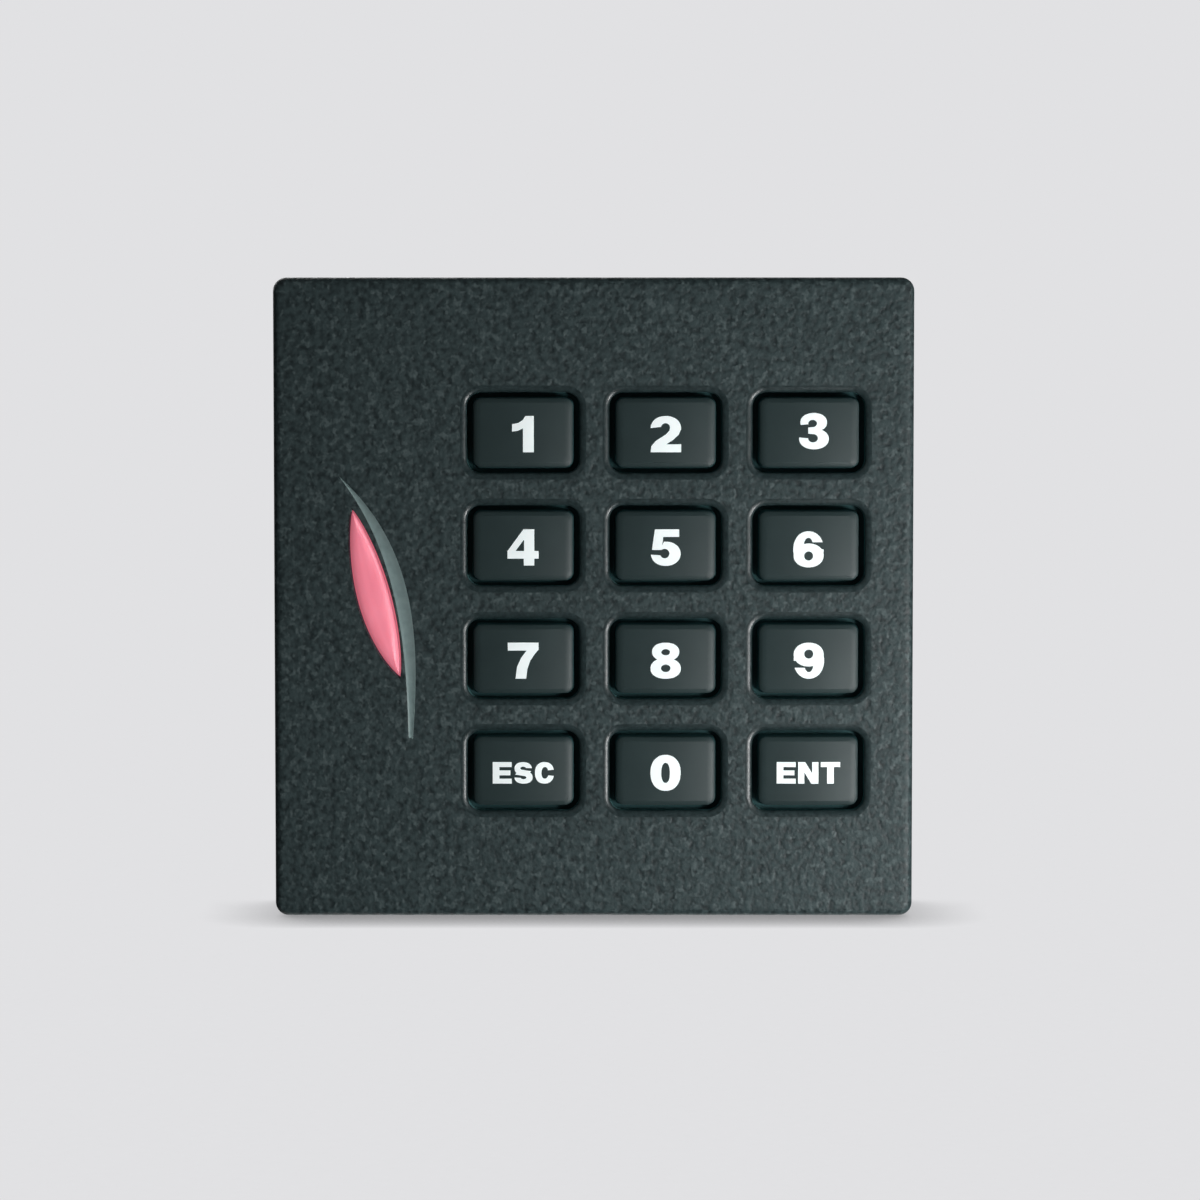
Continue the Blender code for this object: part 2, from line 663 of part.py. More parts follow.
def main():
    for item in list(bpy.data.objects):
        bpy.data.objects.remove(item, do_unlink=True)

    cover_plastic = material("cover_plastic", (0.035, 0.052, 0.054), 0.55)
    back_plastic = material("back_plastic", (0.02, 0.022, 0.023), 0.6)
    lens_plastic = material("lens_plastic", (0.75, 0.11, 0.17), 0.15)
    key_rubber = material("key_rubber", (0.022, 0.032, 0.034), 0.45)
    mat_rubber = material("mat_rubber", (0.012, 0.013, 0.014), 0.7)
    carbon = material("carbon", (0.01, 0.01, 0.01), 0.8)
    steel = material("steel", (0.62, 0.62, 0.6), 0.3, 1.0)
    board_green = material("board_green", (0.01, 0.13, 0.05), 0.35)
    copper = material("copper", (0.72, 0.31, 0.14), 0.35, 1.0)
    moulded = material("chip_black", (0.015, 0.015, 0.016), 0.5)
    tantalum = material("capacitor_yellow", (0.65, 0.4, 0.06), 0.4)
    red_led = material("led_red", (0.8, 0.55, 0.5), 0.2)
    green_led = material("led_green", (0.55, 0.8, 0.55), 0.2)
    buzzer_black = material("buzzer_black", (0.018, 0.018, 0.018), 0.4)
    ivory = material("connector_ivory", (0.75, 0.71, 0.6), 0.4)
    grommet_rubber = material("grommet_rubber", (0.012, 0.012, 0.012), 0.75)

    make_front_cover(cover_plastic)
    make_status_lens(lens_plastic)
    make_rear_cover(back_plastic)
    make_cable_grommet(grommet_rubber)
    make_wall_plate(back_plastic)
    make_fasteners(steel)
    make_keys(key_rubber, carbon)
    make_keypad_mat(mat_rubber)
    make_main_board(board_green)
    make_antenna_coil(copper)
    make_electronics(moulded, steel, tantalum, red_led, green_led, buzzer_black, ivory)
    bpy.context.view_layer.update()


main()
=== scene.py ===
"""Looks of the keypad access reader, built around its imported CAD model.

Metres, +Z up, the keypad faces -Y. Pieces are placed from the frame's own boxes.
The cover, keys, lens, wall plate, screws, coil and pills are rebuilt as finer
meshes in the places of their CAD nodes, and the other nodes keep their shape.
The lens stands 0.15 mm further out than its node, and the crescent is 0.02 mm
shallower.
"""

import math
import random

import bmesh
import bpy
import numpy as np
from mathutils import Matrix, Vector, noise
from mathutils.geometry import delaunay_2d_cdt


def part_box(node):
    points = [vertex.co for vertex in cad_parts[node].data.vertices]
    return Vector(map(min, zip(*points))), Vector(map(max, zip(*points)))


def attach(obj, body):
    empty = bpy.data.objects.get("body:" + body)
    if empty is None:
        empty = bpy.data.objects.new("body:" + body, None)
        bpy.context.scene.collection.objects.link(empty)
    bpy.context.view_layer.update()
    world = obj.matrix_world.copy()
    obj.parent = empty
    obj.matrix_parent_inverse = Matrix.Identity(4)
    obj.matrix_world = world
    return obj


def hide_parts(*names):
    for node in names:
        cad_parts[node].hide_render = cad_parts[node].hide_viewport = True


MM = 0.001
GAP = 0.3 * MM

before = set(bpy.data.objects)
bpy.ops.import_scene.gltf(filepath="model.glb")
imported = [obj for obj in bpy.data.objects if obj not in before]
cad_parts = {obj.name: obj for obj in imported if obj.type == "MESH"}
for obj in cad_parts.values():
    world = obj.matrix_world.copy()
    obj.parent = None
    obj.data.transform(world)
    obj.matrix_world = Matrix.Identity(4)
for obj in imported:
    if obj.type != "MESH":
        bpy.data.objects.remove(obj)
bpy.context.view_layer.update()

# --- Places from the frame ------------------------------------------------------

COVER_LOW, COVER_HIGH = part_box("front_cover")
SIDE = COVER_HIGH.x - COVER_LOW.x
FACE_Y = COVER_LOW.y
RIM_Y = COVER_HIGH.y
KEY_NAMES = ("1", "2", "3", "4", "5", "6", "7", "8", "9", "esc", "0", "ent")


def middle(node):
    low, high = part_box(node)
    return (low + high) / 2


KEY_CENTRES = {name: middle(f"key_{name}") for name in KEY_NAMES}
KEY_FRONT_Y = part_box("key_1")[0].y
KEY_BACK_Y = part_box("key_1")[1].y
BOARD_FRONT_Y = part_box("main_board")[0].y
BOARD_BACK_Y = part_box("main_board")[1].y
BOARD_SCREWS = [middle(f"board_screw_{number}") for number in (1, 2, 3, 4)]

# --- Sizes of the finer shapes -----------------------------------------------------

WALL = 2.0 * MM
FACE_BACK_Y = FACE_Y + 2.2 * MM
CORNER = 1.8 * MM
EDGE_ROUND = 1.0 * MM
DRAFT = 0.05 * MM
GRAIN_STEP = 0.42 * MM
RELIEF = 0.035 * MM
CASE_SCREW = 37.2 * MM
BOSS_END_Y = -5.7 * MM

WINDOW = (15.1 * MM, 10.8 * MM)
WINDOW_CORNER = 1.9 * MM
WINDOW_RIM = (0.9 * MM, 0.45 * MM)

KEY_TOP = (13.3 * MM, 9.2 * MM)
KEY_BASE = (13.7 * MM, 9.6 * MM)
KEY_CORNER = 1.1 * MM
KEY_BEVEL = 0.6 * MM
KEY_BEVEL_DEPTH = 0.3 * MM
KEY_CROWN = (0.52 * MM, 0.12 * MM)
KEY_FLANGE = (16.9 * MM, 12.6 * MM)
KEY_FLANGE_FRONT_Y = FACE_BACK_Y + GAP
KEY_FLANGE_BACK_Y = KEY_FLANGE_FRONT_Y + 1.0 * MM
KEY_STEM = (10 * MM, 6.4 * MM)

LEGEND_RISE = 0.05 * MM
DIGIT_HEIGHT = 4.85 * MM
LETTER_HEIGHT = 2.9 * MM
LETTER_GAP = 0.11
LEGEND_DROP = 0.2 * MM

LENS_TOP = (-32.3 * MM, 11.5 * MM)
LENS_BOTTOM = (-26.15 * MM, -10.3 * MM)
LENS_BULGE_LEFT = 2.45 * MM
LENS_BULGE_RIGHT = 1.6 * MM
LENS_SKEW = 0.15
LENS_BLUNTNESS = 0.85
LENS_GAP = GAP
LENS_PROUD = 0.75 * MM
LENS_FLANGE = 1.1 * MM
LENS_BACK_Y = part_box("status_lens")[1].y
GROOVE_TOP = (-34.15 * MM, 16.35 * MM)
GROOVE_RIGHT_END = (-24.3 * MM, -19 * MM)
GROOVE_LEFT_END = (-24.9 * MM, -18.8 * MM)
GROOVE_RIGHT_BULGE = 4.55 * MM
GROOVE_LEFT_BULGE = 3 * MM
GROOVE_SKEW = 0.28
GROOVE_DEPTH = 0.13 * MM

PLATE_SIDE = 79 * MM
PLATE_FRONT_Y = -2.2 * MM
BOX_SCREW_PITCH = 60.3 * MM
BOX_SLOT = (4.2 * MM, 8.2 * MM)
CABLE_OPENING = 18 * MM
CABLE_CENTRE = (0.0, -17 * MM)
EJECTOR_MARK = 35.6 * MM
HOOK_X = 22


# --- Outlines: lists of (x, z) ---------------------------------------------------------


def rounded_rectangle(width, height, radius, centre=(0.0, 0.0), spans=(1, 1), steps=8):
    """Anticlockwise from the right. spans divides the level and the upright sides."""
    points = []
    for quarter, (sx, sz) in enumerate(((1, 1), (-1, 1), (-1, -1), (1, -1))):
        for step in range(steps + 1):
            angle = math.radians(90) * (quarter + step / steps)
            x = centre[0] + sx * (width / 2 - radius) + radius * math.cos(angle)
            z = centre[1] + sz * (height / 2 - radius) + radius * math.sin(angle)
            points.append((x, z))
        level = quarter % 2 == 0
        span = (width if level else height) - 2 * radius
        pieces = spans[0] if level else spans[1]
        way = ((-1, 0), (0, -1), (1, 0), (0, 1))[quarter]
        x, z = points[-1]
        for i in range(1, pieces):
            points.append((x + way[0] * span * i / pieces, z + way[1] * span * i / pieces))
    return points


def ellipse(centre, radii, power=2.0, steps=36):
    """A superellipse: power 2 is an ellipse, and more is squarer."""
    points = []
    for step in range(steps):
        angle = 2 * math.pi * (step + 0.5) / steps
        x, z = math.cos(angle), math.sin(angle)
        x = math.copysign(abs(x) ** (2 / power), x)
        z = math.copysign(abs(z) ** (2 / power), z)
        points.append((centre[0] + radii[0] * x, centre[1] + radii[1] * z))
    return points


def circle(radius, centre=(0.0, 0.0), steps=40):
    return ellipse(centre, (radius, radius), steps=steps)


def bar(x0, z0, x1, z1):
    return [(x0, z0), (x1, z0), (x1, z1), (x0, z1)]


def corners(reach):
    return [(sx * reach, sz * reach) for sx in (-1, 1) for sz in (-1, 1)]


def bow(start, end, bulge, skew, power=1.0, steps=40):
    """A bowed line that bulges left of the way it runs.

    skew moves the bulge towards the start, and a power under 1 blunts both ends.
    """
    dx, dz = end[0] - start[0], end[1] - start[1]
    chord = math.hypot(dx, dz)
    points = []
    for step in range(steps + 1):
        t = 0.5 - 0.5 * math.cos(math.pi * step / steps)
        height = bulge * (4 * t * (1 - t)) ** power * (1 + skew * (1 - 2 * t))
        points.append((start[0] + dx * t - dz * height / chord, start[1] + dz * t + dx * height / chord))
    return points


def lens_outline(grow=0.0):
    """The lens's leaf. grow moves its outline out on all sides."""
    dx, dz = LENS_BOTTOM[0] - LENS_TOP[0], LENS_BOTTOM[1] - LENS_TOP[1]
    reach = 1.5 * grow / math.hypot(dx, dz)
    first = (LENS_TOP[0] - dx * reach, LENS_TOP[1] - dz * reach)
    last = (LENS_BOTTOM[0] + dx * reach, LENS_BOTTOM[1] + dz * reach)
    right = bow(first, last, LENS_BULGE_RIGHT + grow, 0.0, LENS_BLUNTNESS)
    left = bow(last, first, LENS_BULGE_LEFT + grow, LENS_SKEW, LENS_BLUNTNESS)
    return right[:-1] + left[:-1]


def quarter_round(radius, steps):
    """(inset, depth) pairs from a face out to the wall that it meets."""
    pairs = []
    for step in range(steps + 1):
        angle = math.radians(90) * step / steps
        pairs.append((radius * (1 - math.sin(angle)), radius * (1 - math.cos(angle))))
    return pairs


def inside(points, outline):
    """For each of the points, an (n, 2) array, whether it is inside the outline."""
    ring = np.array(outline)
    found = np.zeros(len(points), bool)
    for (x0, z0), (x1, z1) in zip(ring, np.roll(ring, -1, axis=0)):
        crosses = (z0 > points[:, 1]) != (z1 > points[:, 1])
        if crosses.any():
            at = x0 + (points[:, 1] - z0) * (x1 - x0) / (z1 - z0 if z1 != z0 else 1e-12)
            found ^= crosses & (points[:, 0] < at)
    return found


def fill(loops, keep, extra=()):
    """Triangles over loops of (x, z) points, as (points, triangles).

    Every loop's edges stay edges. keep is given the middles of the triangles and
    says which of them stay. extra are further points, inside the loops.
    """
    points, edges = [], []
    for loop in loops:
        first = len(points)
        points += [Vector((x / MM, z / MM)) for x, z in loop]
        edges += [(first + i, first + (i + 1) % len(loop)) for i in range(len(loop))]
    points += [Vector((x / MM, z / MM)) for x, z in extra]
    made = delaunay_2d_cdt(points, edges, [], 0, 1e-6)
    flat = np.array([tuple(v) for v in made[0]]) * MM
    triangles = np.array([tuple(f) for f in made[2]])
    middles = flat[triangles].mean(axis=1)
    return flat, triangles[keep(middles)]


def between(outer, holes):
    """Keeps what is inside outer and in none of the holes."""

    def keep(middles):
        kept = inside(middles, outer)
        for hole in holes:
            kept &= ~inside(middles, hole)
        return kept

    return keep


def grid(low, high, step):
    """Points on a triangular grid over a rectangle, without its edges."""
    spots = []
    rows = int((high[1] - low[1]) / (step * math.sqrt(3) / 2))
    columns = int((high[0] - low[0]) / step)
    for row in range(rows):
        z = low[1] + (high[1] - low[1]) * (row + 0.5) / rows
        for column in range(columns):
            share = (column + 0.25 + 0.5 * (row % 2)) / columns
            spots.append((low[0] + (high[0] - low[0]) * share, z))
    return spots


# --- Mesh building ----------------------------------------------------------------------


class Builder:
    """Collects surfaces and joins them into one closed mesh."""

    def __init__(self):
        self.mesh = bmesh.new()

    def strip(self, rings, loop=True, closed=False, caps=(False, False), paint=0):
        """A skin through rings, each a list of (x, y, z)."""
        rows = [[self.mesh.verts.new(p) for p in ring] for ring in rings]
        pairs = list(zip(rows, rows[1:]))
        if closed:
            pairs.append((rows[-1], rows[0]))
        for row, following in pairs:
            for i in range(len(row) if loop else len(row) - 1):
                j = (i + 1) % len(row)
                face = self.mesh.faces.new((row[i], row[j], following[j], following[i]))
                face.material_index = paint
        for row, wanted in ((rows[0], caps[0]), (rows[-1], caps[1])):
            if wanted:
                self.mesh.faces.new(row)

    def triangles(self, points, triangles):
        rows = [self.mesh.verts.new(p) for p in points]
        for a, b, c in triangles:
            self.mesh.faces.new((rows[a], rows[b], rows[c]))

    def slab(self, points, triangles, back):
        """A closed plate: the triangles, the same set back by back, and its edge."""
        front = [self.mesh.verts.new(p) for p in points]
        rear = [self.mesh.verts.new(p + Vector((0, back, 0))) for p in points]
        ways = {}
        for a, b, c in triangles:
            self.mesh.faces.new((front[a], front[b], front[c]))
            self.mesh.faces.new((rear[c], rear[b], rear[a]))
            for way in ((a, b), (b, c), (c, a)):
                ways[way] = True
        for a, b in ways:
            if (b, a) not in ways:
                self.mesh.faces.new((front[a], front[b], rear[b], rear[a]))

    def box(self, low, high, edge=0.0):
        """A block with its edges cut by edge."""
        made = bmesh.ops.create_cube(self.mesh, size=1.0)["verts"]
        low, high = Vector(low), Vector(high)
        for vertex in made:
            share = vertex.co + Vector((0.5, 0.5, 0.5))
            vertex.co = [low[i] + (high[i] - low[i]) * share[i] for i in range(3)]
        if edge:
            edges = {e for v in made for e in v.link_edges}
            bmesh.ops.bevel(
                self.mesh, geom=list(edges), offset=edge, segments=2, affect="EDGES", profile=0.6
            )

    def post(self, x, z, half_x, half_z, near, far, edge):
        """A block round (x, z), from depth near to far."""
        self.box((x - half_x, near, z - half_z), (x + half_x, far, z + half_z), edge)

    def object(self, name, materials, angle=40, weld=2e-7):
        """Joins the skins where their points meet, and makes the object."""
        loose = [v for v in self.mesh.verts if not v.link_faces]
        bmesh.ops.delete(self.mesh, geom=loose, context="VERTS")
        if weld:
            bmesh.ops.remove_doubles(self.mesh, verts=self.mesh.verts, dist=weld)
        bmesh.ops.recalc_face_normals(self.mesh, faces=self.mesh.faces)
        data = bpy.data.meshes.new(name)
        self.mesh.to_mesh(data)
        self.mesh.free()
        data.shade_smooth()
        data.set_sharp_from_angle(angle=math.radians(angle))
        for material in materials:
            data.materials.append(material)
        item = bpy.data.objects.new(name, data)
        bpy.context.scene.collection.objects.link(item)
        return item


def at_depth(outline, y):
    return [(x, y, z) for x, z in outline]


def boolean(target, cutter, operation):
    """Applies one exact Boolean to target, and removes the cutter."""
    modifier = target.modifiers.new("cut", "BOOLEAN")
    modifier.operation = operation
    modifier.solver = "EXACT"
    modifier.object = cutter
    graph = bpy.context.evaluated_depsgraph_get()
    changed = bpy.data.meshes.new_from_object(target.evaluated_get(graph))
    target.modifiers.clear()
    target.data = changed
    bpy.data.objects.remove(cutter)


def fit(item, body, replaced=()):
    """Hides the nodes that a placed piece stands for, and hangs it on the body that it rides on."""
    if replaced:
        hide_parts(*replaced)
    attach(item, body)


# --- Materials -------------------------------------------------------------------------


def add_node(tree, kind, **values):
    """A shader node with sockets set by name, where From_Min stands for From Min."""
    node = tree.nodes.new(f"ShaderNode{kind}")
    for socket, value in values.items():
        node.inputs[socket.replace("_", " ")].default_value = value
    return node


class Shader:
    """A material's node tree, with short calls for the nodes that are used here."""

    def __init__(self, name, roughness=0.5, metallic=0.0):
        self.material = bpy.data.materials.new(name)
        self.material.use_nodes = True
        self.tree = self.material.node_tree
        self.shader = self.tree.nodes["Principled BSDF"]
        self.shader.inputs["Roughness"].default_value = roughness
        self.shader.inputs["Metallic"].default_value = metallic
        self.place = add_node(self.tree, "TexCoord").outputs["Object"]

    def set(self, socket, value):
        self.shader.inputs[socket].default_value = value

    def link(self, output, socket):
        self.tree.links.new(output, self.shader.inputs[socket])

    def stretched(self, scale):
        node = add_node(self.tree, "Mapping", Scale=scale)
        self.tree.links.new(self.place, node.inputs["Vector"])
        return node.outputs["Vector"]

    def noise(self, period, detail=3.0, rough=0.55, vector=None):
        """Noise whose blobs are about period wide, in metres."""
        node = add_node(self.tree, "TexNoise", Scale=1.0 / period, Detail=detail, Roughness=rough)
        self.tree.links.new(vector or self.place, node.inputs["Vector"])
        return node.outputs["Fac"]

    def cells(self, period):
        node = add_node(self.tree, "TexVoronoi", Scale=1.0 / period)
        self.tree.links.new(self.place, node.inputs["Vector"])
        return node.outputs["Distance"]

    def ramp(self, value, low, high, start=0.0, end=1.0):
        """Maps value from low..high to start..end, and clamps it."""
        node = add_node(self.tree, "MapRange", From_Min=low, From_Max=high, To_Min=start, To_Max=end)
        self.tree.links.new(value, node.inputs["Value"])
        return node.outputs["Result"]

    def blend(self, value, first, second):
        """A colour between two, each (r, g, b) or a node's output."""
        node = add_node(self.tree, "Mix")
        node.data_type = "RGBA"
        self.tree.links.new(value, node.inputs["Factor"])
        for socket, colour in ((node.inputs[6], first), (node.inputs[7], second)):
            if isinstance(colour, tuple):
                socket.default_value = (*colour, 1.0)
            else:
                self.tree.links.new(colour, socket)
        return node.outputs[2]

    def math(self, operation, first, second):
        node = add_node(self.tree, "Math")
        node.operation = operation
        for socket, value in zip(node.inputs, (first, second)):
            if isinstance(value, (int, float)):
                socket.default_value = value
            else:
                self.tree.links.new(value, socket)
        return node.outputs[0]

    def tone(self, value, low, high, first, second):
        """The base colour, from first to second as value goes from low to high."""
        self.link(self.blend(self.ramp(value, low, high), first, second), "Base Color")

    def dull(self, value, low, high):
        """The roughness, from low to high with a noise."""
        self.link(self.ramp(value, 0.3, 0.7, low, high), "Roughness")

    def axis(self, name):
        node = add_node(self.tree, "SeparateXYZ")
        self.tree.links.new(self.place, node.inputs[0])
        return node.outputs[name]

    def rough_up(self, height, depth, strength, after=None):
        self.link(self.bump(height, depth, strength, after), "Normal")

    def bump(self, height, depth, strength, after=None):
        """Relief of that depth in metres on the surface's normal."""
        node = add_node(self.tree, "Bump", Distance=depth, Strength=strength)
        self.tree.links.new(height, node.inputs["Height"])
        if after:
            self.tree.links.new(after, node.inputs["Normal"])
        return node.outputs["Normal"]


def cover_plastic():
    """Dark grey-green ABS with a spark-eroded mould texture."""
    made = Shader("cover_plastic")
    grain = made.noise(0.85 * MM, 1.5, 0.5)
    peaks = made.noise(0.75 * MM, 1.0, 0.5, made.stretched((1.0, 1.1, 0.9)))
    fine = made.noise(0.2 * MM, 2.0, 0.5)
    clouds = made.noise(14 * MM, 2.0)
    wide = made.blend(made.ramp(clouds, 0.3, 0.7), (0.0165, 0.0290, 0.0305), (0.0205, 0.0345, 0.0360))
    mottled = made.blend(made.ramp(grain, 0.30, 0.62), (0.0055, 0.0122, 0.0137), (0.029, 0.049, 0.051))
    speck = made.blend(made.ramp(peaks, 0.56, 0.72), mottled, (0.062, 0.088, 0.090))
    made.link(made.blend(made.ramp(fine, 0.0, 1.0, 0.55, 1.0), wide, speck), "Base Color")
    made.dull(grain, 0.50, 0.66)
    made.set("Specular IOR Level", 0.35)
    relief = made.math("ADD", grain, made.math("MULTIPLY", peaks, 0.6))
    coarse = made.bump(relief, 0.125 * MM, 1.0)
    made.rough_up(fine, 0.02 * MM, 0.6, coarse)
    return made.material


def polished_plastic():
    """The crescent beside the lens, smoother than the cover and much paler in colour."""
    made = Shader("polished_plastic", 0.34)
    haze = made.noise(0.9 * MM, 2.0)
    made.tone(haze, 0.3, 0.7, (0.160, 0.224, 0.222), (0.195, 0.268, 0.264))
    made.dull(haze, 0.30, 0.40)
    made.rough_up(haze, 0.006 * MM, 0.5)
    return made.material


def key_rubber():
    """Satin coated silicone on the front, and a paler, duller side from the face back.

    The side is painted paler than real silicone: painted light, so that the gap round a key isn't black in
    shade.
    """
    made = Shader("key_rubber", 0.5)
    bloom = made.noise(5 * MM, 3.0)
    fine = made.noise(0.12 * MM, 2.0)
    coat = made.blend(made.ramp(bloom, 0.3, 0.7), (0.0140, 0.0280, 0.0290), (0.0175, 0.0335, 0.0345))
    # From the face back, the side is painted paler: painted light in the shaded gap round a key. It is
    # also made less shiny there.
    behind = made.ramp(made.axis("Y"), FACE_Y - 0.3 * MM, FACE_Y + 0.4 * MM)
    made.link(made.blend(behind, coat, (0.028, 0.072, 0.076)), "Base Color")
    made.dull(fine, 0.48, 0.58)
    made.rough_up(fine, 0.006 * MM, 0.5)
    made.link(made.ramp(behind, 0.0, 1.0, 0.38, 0.1), "Specular IOR Level")
    return made.material


def rim_plastic():
    """The cover's plastic on the windows' rounded rims, where the texture runs out."""
    made = Shader("rim_plastic", 0.34)
    grain = made.noise(0.62 * MM, 2.0, 0.6)
    made.tone(grain, 0.36, 0.66, (0.011, 0.020, 0.021), (0.021, 0.036, 0.038))
    made.dull(grain, 0.30, 0.40)
    made.rough_up(grain, 0.03 * MM, 0.6)
    made.set("Specular IOR Level", 0.38)
    return made.material


def throat_painted_light():
    """The walls inside the windows and the lens's hole.

    They are painted far paler than the cover: painted light, so that the narrow gaps in shade aren't
    black.
    """
    made = Shader("throat_painted_light", 0.7)
    grain = made.noise(0.3 * MM, 2.0)
    made.tone(grain, 0.3, 0.7, (0.065, 0.165, 0.170), (0.090, 0.210, 0.215))
    made.rough_up(grain, 0.02 * MM, 0.6)
    made.set("Specular IOR Level", 0.2)
    return made.material


def legend_ink():
    """White printed ink, a little uneven, with a faint glow that keeps it white."""
    made = Shader("legend_ink", 0.45)
    patches = made.noise(0.5 * MM, 3.0)
    made.tone(patches, 0.25, 0.6, (0.84, 0.93, 0.93), (0.92, 0.98, 0.98))
    made.dull(patches, 0.4, 0.52)
    made.rough_up(patches, 0.004 * MM, 0.4)
    made.set("Emission Color", (0.9, 1.0, 1.0, 1.0))
    made.set("Emission Strength", 0.12)
    return made.material


def lens_plastic():
    """Translucent red polycarbonate with a frosted core, which glows as if it were lit."""
    made = Shader("lens_plastic", 0.3)
    core = made.noise(2.4 * MM, 2.0, 0.5, made.stretched((1.0, 1.0, 0.35)))
    made.tone(core, 0.3, 0.7, (0.56, 0.15, 0.20), (0.67, 0.22, 0.28))
    made.dull(core, 0.30, 0.40)
    made.rough_up(core, 0.01 * MM, 0.3)
    made.set("Coat Weight", 1.0)
    made.set("Coat Roughness", 0.26)
    made.set("Subsurface Weight", 0.25)
    made.set("Subsurface Radius", (1.0, 0.25, 0.2))
    made.set("Subsurface Scale", 1.0 * MM)
    made.set("Emission Color", (1.0, 0.24, 0.33, 1.0))
    made.set("Emission Strength", 0.47)
    return made.material


def grainy(name, dark, light, roughness, period, relief, metallic=0.0):
    """A plain moulded, rolled or plated stuff: mottled in tone, with a fine grain."""
    made = Shader(name, roughness, metallic)
    clouds = made.noise(9 * MM, 3.0)
    grain = made.noise(period, 3.0, 0.6)
    mixed = made.math("ADD", made.math("MULTIPLY", clouds, 0.6), made.math("MULTIPLY", grain, 0.4))
    made.tone(mixed, 0.3, 0.7, dark, light)
    made.dull(grain, roughness - 0.07, roughness + 0.07)
    made.rough_up(grain, relief, 0.8)
    return made.material


# --- The front cover ----------------------------------------------------------------------


def relief_at(x, y, z):
    """The mould texture's coarse relief, from -1 to 1."""
    spot = Vector((x, y, z)) / MM
    return noise.noise(spot * 0.95) * 0.65 + noise.noise(spot * 1.9 + Vector((7, 3, 5))) * 0.35


def scatter(outer, holes, clear):
    """Points on a jittered triangular grid inside outer and away from the holes."""
    draw = random.Random(5)
    reach = max(x for x, _ in outer)
    jitter = 0.16 * GRAIN_STEP
    spots = np.array(
        [
            (x + draw.uniform(-jitter, jitter), z + draw.uniform(-jitter, jitter))
            for x, z in grid((-reach, -reach), (reach, reach), GRAIN_STEP)
        ]
    )
    kept = (np.abs(spots) < reach - clear).all(axis=1)
    for hole in holes:
        ring = np.array(hole)
        low, high = ring.min(axis=0) - clear, ring.max(axis=0) + clear
        near = kept & (spots > low).all(axis=1) & (spots < high).all(axis=1)
        index = np.where(near)[0]
        gap = np.min(np.linalg.norm(spots[index][:, None] - ring[None], axis=2), axis=1)
        kept[index[inside(spots[index], hole) | (gap < clear)]] = False
    return spots[kept]


def window_ring(centre, grow):
    """A key window's outline, moved out by grow. Every ring has the same points."""
    spans = (round(WINDOW[0] / GRAIN_STEP), round(WINDOW[1] / GRAIN_STEP))
    size = (WINDOW[0] + 2 * grow, WINDOW[1] + 2 * grow)
    return rounded_rectangle(*size, WINDOW_CORNER + grow, (centre.x, centre.z), spans)


def wall_ring(side, radius):
    spans = round(SIDE / GRAIN_STEP)
    return rounded_rectangle(side, side, radius, spans=(spans, spans))


def crescent_edges():
    """The crescent's right and left edges from its upper tip to its blunt end."""
    right = bow(GROOVE_TOP, GROOVE_RIGHT_END, GROOVE_RIGHT_BULGE, GROOVE_SKEW)
    left = bow(GROOVE_TOP, GROOVE_LEFT_END, GROOVE_LEFT_BULGE, GROOVE_SKEW)
    return right, left


def add_crescent(build, right_edge, left_edge):
    """A shallow dish, polished, with soft edges."""
    profile = ((0.0, 0.0), (0.12, 0.55), (0.25, 0.85), (0.45, 1.0), (0.65, 0.9), (0.85, 0.5), (1.0, 0.0))
    rows = []
    for i, (left, right) in enumerate(zip(left_edge, right_edge)):
        depth = GROOVE_DEPTH * math.sin(math.pi * i / (len(left_edge) - 1)) ** 0.5
        row = []
        for across, share in profile:
            x = left[0] + (right[0] - left[0]) * across
            z = left[1] + (right[1] - left[1]) * across
            row.append((x, FACE_Y + depth * share, z))
        rows.append(row)
    build.strip(rows, loop=False, paint=1)


def add_face(build, face_ring, windows, lens_mouth, crescent):
    """The front skin, with the relief of the mould faded out at every edge."""
    holes = [*windows, lens_mouth, crescent]
    spots = scatter(face_ring, holes, 0.3 * MM)
    flat, triangles = fill([face_ring, *holes], between(face_ring, holes), spots)
    edges = {(round(x / MM, 3), round(z / MM, 3)) for loop in [face_ring, *holes] for x, z in loop}
    points = []
    for x, z in flat:
        on_edge = (round(x / MM, 3), round(z / MM, 3)) in edges
        rise = 0.0 if on_edge else RELIEF * relief_at(x, FACE_Y, z)
        points.append((x, FACE_Y - rise, z))
    build.triangles(points, triangles)


def add_walls(build, inner_ring):
    """The rounded edge, the drafted walls with their relief, and the rim."""
    rings = []
    for inset, depth in quarter_round(EDGE_ROUND, 5):
        side = SIDE - 2 * (DRAFT + inset)
        rings.append(at_depth(wall_ring(side, CORNER - 0.6 * inset), FACE_Y + depth))
    top = FACE_Y + EDGE_ROUND
    levels = round((RIM_Y - top) / GRAIN_STEP)
    for level in range(1, levels):
        share = level / levels
        y = top + (RIM_Y - top) * share
        ring = []
        for x, z in wall_ring(SIDE - 2 * DRAFT * (1 - share), CORNER):
            limit = SIDE / 2 - CORNER - DRAFT
            away = Vector((x, z)) - Vector((max(-limit, min(limit, x)), max(-limit, min(limit, z))))
            out = away.normalized() * RELIEF * relief_at(x, y, z)
            ring.append((x + out.x, y, z + out.y))
        rings.append(ring)
    rings.append(at_depth(wall_ring(SIDE, CORNER), RIM_Y - 0.2 * MM))
    rings.append(at_depth(wall_ring(SIDE - 0.4 * MM, CORNER - 0.2 * MM), RIM_Y))
    rings.append(at_depth(inner_ring, RIM_Y))
    rings.append(at_depth(inner_ring, FACE_BACK_Y))
    build.strip(rings)


